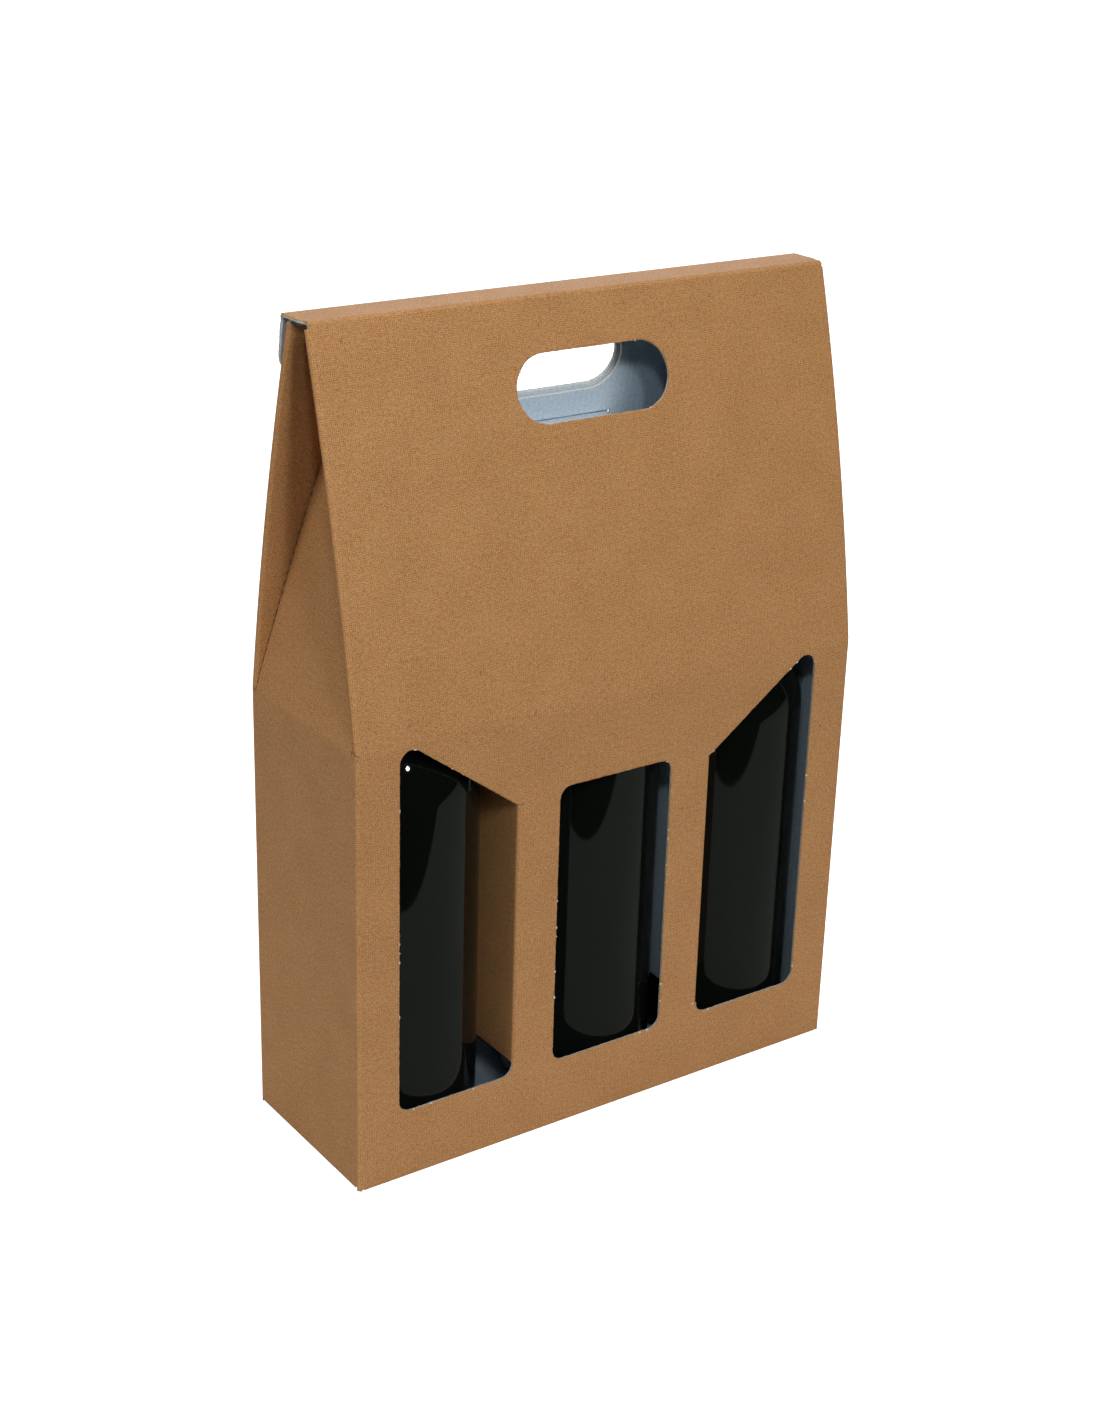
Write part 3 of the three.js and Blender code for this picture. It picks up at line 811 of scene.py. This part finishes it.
for side, name in ((-1, "left"), (1, "right")):
    divider_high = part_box(f"{name}_divider")[1]
    line = CreaseLine([(window_inner - hinge_strip, -half_depth, 0),
                       (window_inner, -half_depth, divider_bend),
                       (window_inner, divider_high.y, 0)], -1)
    end = line.runs[-1]
    bend_out = line.find(window_inner, -half_depth + board + 2 * divider_bend)
    outline = [
        (divider_foot + relief, 0, 0, cut),
        (divider_foot + divider_trim, bend_out, 0, cut),
        (divider_foot + divider_trim, end, window_radius, cut),
        (divider_high.z, end, window_radius, cut),
        (window_shoulder - divider_trim, bend_out, 0, cut),
        (window_shoulder - 2 * relief, 0, 0, seam),
    ]

    def divider_place(z, run, depth, line=line, side=side):
        spot = line.at(run, depth)
        return Vector((side * spot.x, spot.y, z))

    divider = board_sheet(f"{name}_cell_divider", [outline], line.runs, divider_place,
                          lambda z, run: (run, z))
    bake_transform(divider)
    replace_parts(divider, f"{name}_divider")

# Slopes: the front and back panels go on above the fold line, lean together in a slight bow and have
# a carrying hole. The front one runs on over the bridge, and the back one has a slit for the lock tab.
slope_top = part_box("front_slope")[1].z
bridge_low, bridge_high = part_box("top_bridge")
slope_top_y = -bridge_low.y
slope_bow = 0.003
slope_steps = 14
fold_bend = 0.022
ridge_bend = 0.0022
ridge_back = 0.002
bend_room = 0.001
handle_half = 0.040
handle_half_height = 0.015
handle_drop = 0.0372
slit_half = 0.0403
slit_drop = 0.0660
slit_height = 0.0026
slit_sag = 0.0003
nearly_round = 0.999
slope_chord = math.hypot(half_depth - slope_top_y, slope_top - fold_height)
slope_lean = math.atan2(half_depth - slope_top_y, slope_top - fold_height)
slope_radius = (slope_chord ** 2 / 4 + slope_bow ** 2) / (2 * slope_bow)
slope_half_angle = math.asin(slope_chord / 2 / slope_radius)


def slope_point(share, inset=0.0):
    """A place on the slope as its distance from the middle plane and its height."""
    angle = slope_half_angle * (2 * share - 1)
    along = Vector((-math.sin(slope_lean), math.cos(slope_lean)))
    outward = Vector((math.cos(slope_lean), math.sin(slope_lean)))
    middle = Vector(((half_depth + slope_top_y) / 2, (fold_height + slope_top) / 2))
    reach = slope_radius - inset
    return (middle - outward * (slope_radius - slope_bow)
            + outward * (reach * math.cos(angle)) + along * (reach * math.sin(angle)))


bow = [(*slope_point(k / slope_steps), 0) for k in range(1, slope_steps)]
top_lean = slope_lean + slope_half_angle
ridge_y = slope_top_y - (bridge_high.z - slope_top) * math.tan(top_lean)

# The closure flap's line, behind the back slope: it springs away under the bridge and lies flat below.
flap_standoff = 0.0030
flap_contact = 0.0004
flap_bulge = 0.030
flap_bend = 0.0020
flap_steps = 12
tab_share = 1 - slit_drop / slope_chord
flap_top_share = 1 - (flap_standoff + board) * math.tan(top_lean) / slope_chord


def flap_point(share):
    """A place on the closure flap's outer face, at a share of the way up the slope."""
    rise = min(max((share - flap_top_share) * slope_chord / flap_bulge + 1, 0), 1)
    rise = rise * rise * (3 - 2 * rise)
    return slope_point(share, -(flap_contact + (flap_standoff - flap_contact) * rise) - board)


tab_dip = math.radians(25)
tab_reach = 0.0080
tab_bend = 0.0019
tab_shift = 0.0016
flap_shares = [flap_top_share + (tab_share - flap_top_share) * k / flap_steps
               for k in range(1, flap_steps)]
tab_corner = flap_point(tab_share - tab_shift / slope_chord)
tab_way = Vector((-math.cos(tab_dip), -math.sin(tab_dip)))
tab_tip = tab_corner + tab_way * (tab_reach + 2 * board)

# The whole strip from the front fold to the lock tab; distances from the middle plane count positive in
# front and negative behind.
strip = CreaseLine([
    (half_depth, sleeve_top, 0),
    (half_depth, fold_height, fold_bend),
    *bow,
    (ridge_y, bridge_high.z, ridge_bend),
    (-bridge_high.y, bridge_high.z, flap_bend),
    *[(-flap_point(share).x, flap_point(share).y, 0) for share in flap_shares],
    (-tab_corner.x, tab_corner.y, tab_bend),
    (-tab_tip.x, tab_tip.y, 0),
], -1)
back_strip = CreaseLine([
    (half_depth, sleeve_top, 0), (half_depth, fold_height, fold_bend), *bow,
    (slope_top_y, slope_top, 0)], -1)
ridge_run = strip.find(*slope_point(1 - ridge_back / slope_chord))
bridge_end = strip.find(-bridge_high.y + flap_bend + bend_room, bridge_high.z)


def strip_place(x, run, depth):
    spot = strip.at(run, depth)
    return Vector((x, -spot.x, spot.y))


def back_place(x, run, depth):
    spot = back_strip.at(run, depth)
    return Vector((x, spot.x, spot.y))


def carrying_hole(run, half, half_height):
    """A carrying hole with round ends."""
    radius = half_height * nearly_round
    return [(-half, run - half_height, radius, cut), (half, run - half_height, radius, cut),
            (half, run + half_height, radius, cut), (-half, run + half_height, radius, cut)]


def across_and_up(x, run):
    return x, run + sleeve_top


handle_run = strip.find(*slope_point(1 - handle_drop / slope_chord))
front_outline = [(-flat_x, 0, 0, seam), (flat_x, 0, 0, seam), (flat_x, ridge_run, 0, seam),
                 (-flat_x, ridge_run, 0, seam)]
handle = carrying_hole(handle_run, handle_half, handle_half_height)
front_slope = board_sheet("front_slope_sheet", [front_outline, handle], strip.runs, strip_place,
                          across_and_up)
hole_tear_most = (0.00050, 0.00050, 0.0009)
hole_tear_seed = 3
grains_along("carrying_hole_nicks", cut_lines([handle], strip_place, tear_depth), "front_slope", torn_fibre,
             tear_spacing, tear_share, tear_least, hole_tear_most, hole_tear_seed)
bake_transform(front_slope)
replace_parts(front_slope, "front_slope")

slit_run = back_strip.find(*slope_point(tab_share)) - slit_sag
slit_low, slit_high = slit_run - slit_height / 2, slit_run + slit_height / 2
slit = [(-slit_half, slit_low, 0, cut), (slit_half, slit_low, 0, cut),
        (slit_half, slit_high, 0, cut), (-slit_half, slit_high, 0, cut)]
back_end = back_strip.runs[-1]
back_outline = [(-flat_x, 0, 0, seam), (flat_x, 0, 0, seam), (flat_x, back_end, 0, cut),
                (-flat_x, back_end, 0, seam)]
back_slope = board_sheet("back_slope_sheet", [back_outline, handle, slit], back_strip.runs, back_place,
                         across_and_up)
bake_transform(back_slope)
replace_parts(back_slope, "back_slope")

# Bridge: the narrow top between the slopes, the same board creased off the front slope, with plain
# cut ends that step in beside the crease.
end_step = 0.0012
end_step_length = 0.0030
end_step_start = ridge_run + 0.0008
step_half = half_width - end_step
ridge_out = strip.find(ridge_y - ridge_bend - bend_room, bridge_high.z)
bridge_outline = [
    (-flat_x, ridge_run, 0, seam), (flat_x, ridge_run, 0, cut),
    (step_half, end_step_start, 0, cut), (step_half, ridge_out, 0, cut),
    (half_width, ridge_out + end_step_length, 0, cut), (half_width, bridge_end, 0, seam),
    (-half_width, bridge_end, 0, cut), (-half_width, ridge_out + end_step_length, 0, cut),
    (-step_half, ridge_out, 0, cut), (-step_half, end_step_start, 0, cut),
]
bridge = board_sheet("bridge_sheet", [bridge_outline], strip.runs, strip_place, across_and_up)
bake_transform(bridge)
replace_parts(bridge, "top_bridge")

# Closure flap: the end of the same board, which hangs from the bridge outside the back slope and tapers
# to its foot, where a tab bends in through the slit and locks the top shut.
flap_side_drop = 0.024
flap_half = half_width - 0.0005
flap_foot_half = 0.062
flap_corner = 0.014
foot_corner = 0.002
flap_hole_inset = 0.002
tab_half = 0.040
tab_corner_radius = 0.004


def flap_run(drop):
    """The run of a place on the closure flap at a drop down the slope."""
    spot = flap_point(1 - drop / slope_chord)
    return strip.find(-spot.x, spot.y)


flap_side_run = flap_run(flap_side_drop)
foot_run = strip.find(-tab_corner.x, tab_corner.y) - tab_bend
tab_end = strip.runs[-1]
flap_outline = [
    (-flap_half, bridge_end, 0, seam), (flap_half, bridge_end, 0, cut),
    (flap_half, flap_side_run, flap_corner, cut), (flap_foot_half, foot_run, foot_corner, cut),
    (tab_half, foot_run, 0, cut), (tab_half, tab_end, tab_corner_radius, cut),
    (-tab_half, tab_end, tab_corner_radius, cut), (-tab_half, foot_run, 0, cut),
    (-flap_foot_half, foot_run, foot_corner, cut), (-flap_half, flap_side_run, flap_corner, cut),
]
flap_hole = carrying_hole(flap_run(handle_drop), handle_half - flap_hole_inset,
                          handle_half_height - flap_hole_inset)
closure_flap = board_sheet("closure_flap_sheet", [flap_outline, flap_hole], strip.runs, strip_place,
                           across_and_up)
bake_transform(closure_flap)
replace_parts(closure_flap, "closure_flap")

# Gussets: the side panels go on above the fold as leaning middle pieces, with a wing beside each slope
# that is hemmed round the slope's edge and folded flat inside it. Perforated creases part the two.
gusset_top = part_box("left_gusset")[1].z
gusset_lean = slope_lean
gusset_fold_bend = 0.012
wing_gap = 0.0003
wing_depth = 2 * board + wing_gap
gusset_clearance = 0.0003
hem_bend = wing_depth / 2
wing_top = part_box("left_front_wing")[1].z
wing_drop = 0.0012
wing_reach = 0.06
hem_inset = 0.0032
gusset_shoulder = 0.0004
gusset_through = board / math.cos(gusset_lean)
gusset_rows = 12


def gusset_x(height):
    return half_width - (height - fold_height) * math.tan(gusset_lean)


gusset_line = CreaseLine([(half_width, sleeve_top, 0), (half_width, fold_height, gusset_fold_bend),
                          (gusset_x(gusset_top), gusset_top, 0)], -1)


def gusset_edge(height):
    """How far the middle piece reaches towards the slope at a height."""
    return back_strip.at(back_strip.find_height(height, wing_depth), wing_depth + gusset_clearance).x


gusset_foot = fold_height + gusset_shoulder
rows = [gusset_foot + (gusset_top - gusset_foot) * k / gusset_rows for k in range(gusset_rows + 1)]
edge_rows = [(gusset_edge(height), gusset_line.find_height(height)) for height in rows]
shoulder_run = gusset_line.find_height(fold_height - gusset_shoulder)
gusset_outline = [
    (-flat_y, 0, 0, seam), (flat_y, 0, 0, seam), (flat_y, shoulder_run, 0, cut),
    *[(y, run, 0, cut) for y, run in edge_rows],
    *[(-y, run, 0, cut) for y, run in reversed(edge_rows)],
    (-flat_y, shoulder_run, 0, seam),
]
hem = CreaseLine([(flat_x, 0, 0), (half_width, 0, hem_bend), (half_width, wing_depth, hem_bend),
                  (flat_x - wing_reach, wing_depth, 0)], -1)
hem_end = hem.find(half_width - hem_bend, wing_depth)


def wing_spot(x, height):
    """A place on a wing as its runs round the hem and up the slope."""
    return hem_end + half_width - hem_bend - x, back_strip.find_height(height, wing_depth)


wing_rows = 10
wing_foot = fold_height + gusset_clearance
diagonal = [wing_foot + (gusset_top - wing_foot) * k / wing_rows for k in range(wing_rows + 1)]
hem_top = wing_spot(half_width, wing_top)[1]
wing_outline = [
    (0, back_strip.find_height(wing_foot), 0, cut),
    *[(*wing_spot(gusset_x(height) - gusset_through, height), 0, cut) for height in diagonal],
    (*wing_spot(gusset_x(gusset_top) - gusset_through, wing_top - wing_drop), 0, cut),
    (*wing_spot(half_width - hem_inset, wing_top - wing_drop), 0, cut),
    (hem_end, hem_top, 0, cut),
    (0, hem_top, 0, seam),
]

# Perforation slits along the creases, drawn as thin solid dashes painted dark and brown: painted shade of the
# open slits, mottled by a noise.
slot_inset = 0.0003
slot_spacing = 0.0046
slot_share = 0.9
slot_least = (0.00012, 0.00016, 0.0011)
slot_most = (0.00016, 0.00026, 0.0016)
slot_seed = 5
slot_shade_dark = (0.100, 0.046, 0.020)
slot_brown = (0.240, 0.120, 0.050)
slot_rough = 0.95
slot_mottle_scale = 700.0
perforation_slit_shade, tree, shader = new_finish("perforation_slit_shade", slot_rough)
tufts = noise(tree, object_place(tree), slot_mottle_scale)
tree.links.new(colour_ramp(tree, tufts, [(0.40, slot_shade_dark), (0.62, slot_brown)]), shader.inputs["Base Color"])
blend_height = 0.3
blend_run = back_strip.find_height(blend_height)
middle = back_strip.at(blend_run)
inner = back_strip.at(blend_run, wing_depth)

for side, name in ((-1, "left"), (1, "right")):
    def gusset_place(y, run, depth, side=side):
        spot = gusset_line.at(run, depth)
        return Vector((side * spot.x, y, spot.y))

    gusset = board_sheet(f"{name}_gusset_sheet", [gusset_outline], gusset_line.runs, gusset_place,
                         across_and_up)
    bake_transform(gusset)
    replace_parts(gusset, f"{name}_gusset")
    # The dashes of painted slit shade run just inside each crease.
    creases = [[gusset_place(face * (y - slot_inset), run, 0) for y, run in edge_rows] for face in (-1, 1)]
    grains_along(f"{name}_gusset_perforation", creases, f"{name}_gusset", perforation_slit_shade,
                 slot_spacing, slot_share, slot_least, slot_most, slot_seed)
    for face, place_name in ((-1, "front"), (1, "back")):
        def wing_place(run_hem, run, depth, side=side, face=face):
            spot = hem.at(run_hem, depth)
            slope_spot = back_strip.at(run, spot.y)
            return Vector((side * spot.x, face * slope_spot.x, slope_spot.y))

        wing = board_sheet(f"{name}_{place_name}_wing_sheet", [wing_outline], back_strip.runs, wing_place,
                           lambda run_hem, run: (flat_x + run_hem, run + sleeve_top), hem.runs)
        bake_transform(wing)
        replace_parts(wing, f"{name}_{place_name}_wing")

# Bottles: standard wine bottles of very dark glass with a deep punt, blown in a two-part mould. Each
# stands on the base flaps in its own cell and has a black capsule shrunk over the neck.
bottle_low, bottle_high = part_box("left_bottle")
bottle_radius = (bottle_high.x - bottle_low.x) / 2
bottle_height = bottle_high.z - bottle_low.z
bottle_body = 0.174
bottle_shoulder = 0.046
shoulder_ease = 1.2
shoulder_steps = 24
neck_radius = 0.014
lip_height = 0.009
lip_step = 0.0012
lip_round, lip_under = 0.001, 0.0006
heel_radius = 0.007
heel_flat = 0.0016
punt_inset = 0.003
punt_depth = 0.022
turn_steps = 96
sharp_angle = math.radians(40)
capsule_length = 0.058
capsule_wall = 0.0005
capsule_gap = 0.0003
capsule_round = 0.0012
groove_low, groove_high, groove_slant = 0.012, 0.010, 0.0005
groove_depth = 0.0003
disc_radius, disc_slant, disc_dip = 0.0100, 0.0004, 0.0002


def arc(centre_r, centre_z, radius, start, end, steps):
    """Points of an arc in the half plane of a turned profile, with angles in degrees."""
    angles = [math.radians(start + (end - start) * k / steps) for k in range(steps + 1)]
    return [(centre_r + radius * math.cos(a), centre_z + radius * math.sin(a)) for a in angles]


def turned(name, profile, centre, finish):
    """A solid turned from a profile of (radius, height) points about an upright axis."""
    rings = []
    points, faces = [], []
    for radius, height in profile:
        if radius < tiny:
            rings.append([len(points)])
            points.append((centre.x, centre.y, centre.z + height))
            continue
        rings.append(range(len(points), len(points) + turn_steps))
        for k in range(turn_steps):
            angle = 2 * math.pi * k / turn_steps
            points.append((centre.x + radius * math.cos(angle), centre.y + radius * math.sin(angle),
                           centre.z + height))
    for low, high in zip(rings, rings[1:]):
        for k in range(turn_steps):
            a, b = low[k % len(low)], low[(k + 1) % len(low)]
            d, c = high[k % len(high)], high[(k + 1) % len(high)]
            faces.append([v for i, v in enumerate((a, b, c, d)) if v not in (a, b, c, d)[:i]])
    mesh = bpy.data.meshes.new(name)
    mesh.from_pydata(points, [], faces)
    mesh.shade_smooth()
    mesh.set_sharp_from_angle(angle=sharp_angle)
    mesh.materials.append(finish)
    made = bpy.data.objects.new(name, mesh)
    bpy.context.scene.collection.objects.link(made)
    return made


glass_colour = (0.0035, 0.0045, 0.0035)
glass_index = 1.52
glass_rough, glass_uneven = 0.03, 0.03
flow_scale, flow_stretch = 26.0, (1, 1, 0.35)
flow_relief, flow_height = 0.06, 0.002
bottle_glass, tree, shader = new_finish("bottle_glass", glass_rough, glass_colour)
shader.inputs["IOR"].default_value = glass_index
flow = noise(tree, object_place(tree), flow_scale, 1.0, flow_stretch)
tree.links.new(maths(tree, "MULTIPLY_ADD", flow, glass_uneven, glass_rough), shader.inputs["Roughness"])
raised(tree, shader, flow, flow_relief, flow_height)

foil_colour = (0.010, 0.010, 0.011)
foil_rough, foil_uneven = 0.34, 0.2
crimp_scale, crimp_stretch = 240.0, (1, 1, 0.2)
crimp_relief, crimp_height = 0.25, 0.0004
capsule_black, tree, shader = new_finish("capsule_black", foil_rough, foil_colour)
crimp = noise(tree, object_place(tree), crimp_scale, 3.0, crimp_stretch)
tree.links.new(maths(tree, "MULTIPLY_ADD", crimp, foil_uneven, foil_rough), shader.inputs["Roughness"])
raised(tree, shader, crimp, crimp_relief, crimp_height)

shoulder = []
for k in range(shoulder_steps + 1):
    share = k / shoulder_steps
    swing = (1 - math.cos(math.pi * share ** shoulder_ease)) / 2
    shoulder.append((bottle_radius - (bottle_radius - neck_radius) * swing,
                     bottle_body + bottle_shoulder * share))
lip_radius = neck_radius + lip_step
lip_foot = bottle_height - lip_height
foot_radius = bottle_radius - heel_radius
punt_angles = [math.radians(angle) for angle in range(5, 90, 7)]
bottle_profile = [
    (0, bottle_height), *arc(lip_radius - lip_round, bottle_height - lip_round, lip_round, 90, 0, 5),
    *arc(lip_radius - lip_under, lip_foot + lip_under, lip_under, 0, -90, 4),
    (neck_radius, lip_foot - lip_step),
    *shoulder[::-1],
    *arc(foot_radius, heel_radius, heel_radius, 0, -90, 10),
    (foot_radius - heel_flat, 0.0),
    *[((foot_radius - punt_inset) * math.cos(a), punt_depth * math.sin(a)) for a in punt_angles],
    (0, punt_depth),
][::-1]
capsule_bore = lip_radius + capsule_gap
capsule_outer = capsule_bore + capsule_wall
capsule_under = bottle_height + capsule_gap
capsule_top = capsule_under + capsule_wall
capsule_foot = bottle_height - capsule_length
groove_radius = capsule_outer - groove_depth
capsule_profile = [
    (0, capsule_under), (capsule_bore, capsule_under), (capsule_bore, capsule_foot),
    *arc(capsule_bore + capsule_wall / 2, capsule_foot, capsule_wall / 2, 180, 360, 4),
    (capsule_outer, bottle_height - groove_low),
    (groove_radius, bottle_height - groove_low + groove_slant),
    (groove_radius, bottle_height - groove_high - groove_slant),
    (capsule_outer, bottle_height - groove_high),
    *arc(capsule_outer - capsule_round, capsule_top - capsule_round, capsule_round, 0, 90, 5),
    (disc_radius, capsule_top), (disc_radius - disc_slant, capsule_top - disc_dip),
    (0, capsule_top - disc_dip),
]
for name in ("left", "middle", "right"):
    low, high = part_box(f"{name}_bottle")
    foot = Vector(((low.x + high.x) / 2, (low.y + high.y) / 2, low.z))
    bottle = turned(f"{name}_wine_bottle", bottle_profile, foot, bottle_glass)
    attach(bottle, f"{name}_bottle")
    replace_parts(bottle, f"{name}_bottle")
    capsule = turned(f"{name}_neck_capsule", capsule_profile, foot, capsule_black)
    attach(capsule, f"{name}_bottle")
    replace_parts(capsule, f"{name}_capsule")

# Studio: a pale table under soft light from the front, the left, above and behind, with two small cool
# lamps between the box and the camera. Seen straight on, table and room are plain white; in the bottles
# the table looks grey and ends in the dark in front of the box.
table_near = 0.325
table_reach = 6
table_far = [(8, 9, 0), (-6, 9, 0)]
table_lit = (0.65, 0.65, 0.65)
# table_in_glass is the colour only reflection rays see, darker than the table's bounce colour: a painted
# reflection tone in the bottles.
table_in_glass = (0.208, 0.228, 0.202)
table_seen = (1, 1, 1)
table_rough = 0.9
table_facing = Vector((-0.447, -0.894, 0))
table_edge = table_near * table_facing
table_way = Vector((-table_facing.y, table_facing.x, 0))
table_mesh = bpy.data.meshes.new("table")
table_front = [table_edge - table_reach * table_way, table_edge + table_reach * table_way]
table_mesh.from_pydata([*table_front, *table_far], [], [(0, 1, 2, 3)])
table = bpy.data.objects.new("table", table_mesh)
bpy.context.scene.collection.objects.link(table)
table_white, tree, shader = new_finish("table_white", table_rough)
path = tree.nodes.new("ShaderNodeLightPath")
tree.links.new(mixed(tree, path.outputs["Is Glossy Ray"], table_lit, table_in_glass),
               shader.inputs["Base Color"])
shader.inputs["Emission Color"].default_value = (*table_seen, 1)
tree.links.new(path.outputs["Is Camera Ray"], shader.inputs["Emission Strength"])
table_mesh.materials.append(table_white)

aim = Vector((0, 0, 0.2))
white = (1, 1, 1)
cool = (0.86, 0.95, 1.0)


def area_light(name, spot, size, power, colour, in_glass):
    """A round light that looks at the box; in_glass tells whether the bottles mirror it."""
    lamp = bpy.data.lights.new(name, "AREA")
    lamp.shape = "DISK"
    lamp.size = size
    lamp.energy = power
    lamp.color = colour
    made = bpy.data.objects.new(name, lamp)
    made.location = spot
    made.rotation_mode = "QUATERNION"
    made.rotation_quaternion = (aim - Vector(spot)).to_track_quat("-Z", "Y")
    made.visible_glossy = in_glass
    bpy.context.scene.collection.objects.link(made)


area_light("front_light", (-0.3, -4.1, 2.4), 2.0, 100, white, in_glass=False)
area_light("left_light", (-4.4, 0.4, 2.3), 2.0, 68, white, in_glass=False)
area_light("back_light", (1.9, 2.7, 1.45), 1.5, 33, white, in_glass=True)
area_light("overhead_light", (0, 0.2, 5.2), 2.5, 94, white, in_glass=True)
area_light("rear_light", (0.4, 4.4, 0.7), 1.5, 36, white, in_glass=False)
area_light("camera_lamp", (-0.25, -0.65, 0.735), 0.06, 1.1, cool, in_glass=True)
area_light("side_lamp", (-0.44, -0.63, 0.75), 0.06, 1.0, cool, in_glass=False)
room_light = 0.02
world = bpy.data.worlds.new("studio")
world.use_nodes = True
tree = world.node_tree
path = tree.nodes.new("ShaderNodeLightPath")
room = tree.nodes["Background"]
room.inputs["Color"].default_value = (*white, 1)
strength = maths(tree, "MULTIPLY", path.outputs["Is Diffuse Ray"], room_light)
tree.links.new(maths(tree, "MAXIMUM", strength, path.outputs["Is Camera Ray"]), room.inputs["Strength"])
bpy.context.scene.world = world
bpy.context.scene.view_settings.view_transform = "Standard"

image_height = 1422
focal_pixels = 2286.7
azimuth = math.radians(-35.38)
elevation = math.radians(22.33)
roll = math.radians(1.65)
camera_spot = (-0.56905, -0.79347, 0.58868)
camera = bpy.data.objects.new("camera", bpy.data.cameras.new("camera"))
camera.data.sensor_width = 36
camera.data.lens = focal_pixels * camera.data.sensor_width / image_height
back = Vector((math.sin(azimuth) * math.cos(elevation), -math.cos(azimuth) * math.cos(elevation),
               math.sin(elevation)))
right = Vector((math.cos(azimuth), math.sin(azimuth), 0))
up = back.cross(right)
rolled_right = right * math.cos(roll) + up * math.sin(roll)
rolled_up = up * math.cos(roll) - right * math.sin(roll)
camera_turn = Matrix((rolled_right, rolled_up, back)).transposed()
camera.matrix_world = Matrix.Translation(camera_spot) @ camera_turn.to_4x4()
bpy.context.scene.collection.objects.link(camera)
bpy.context.scene.camera = camera
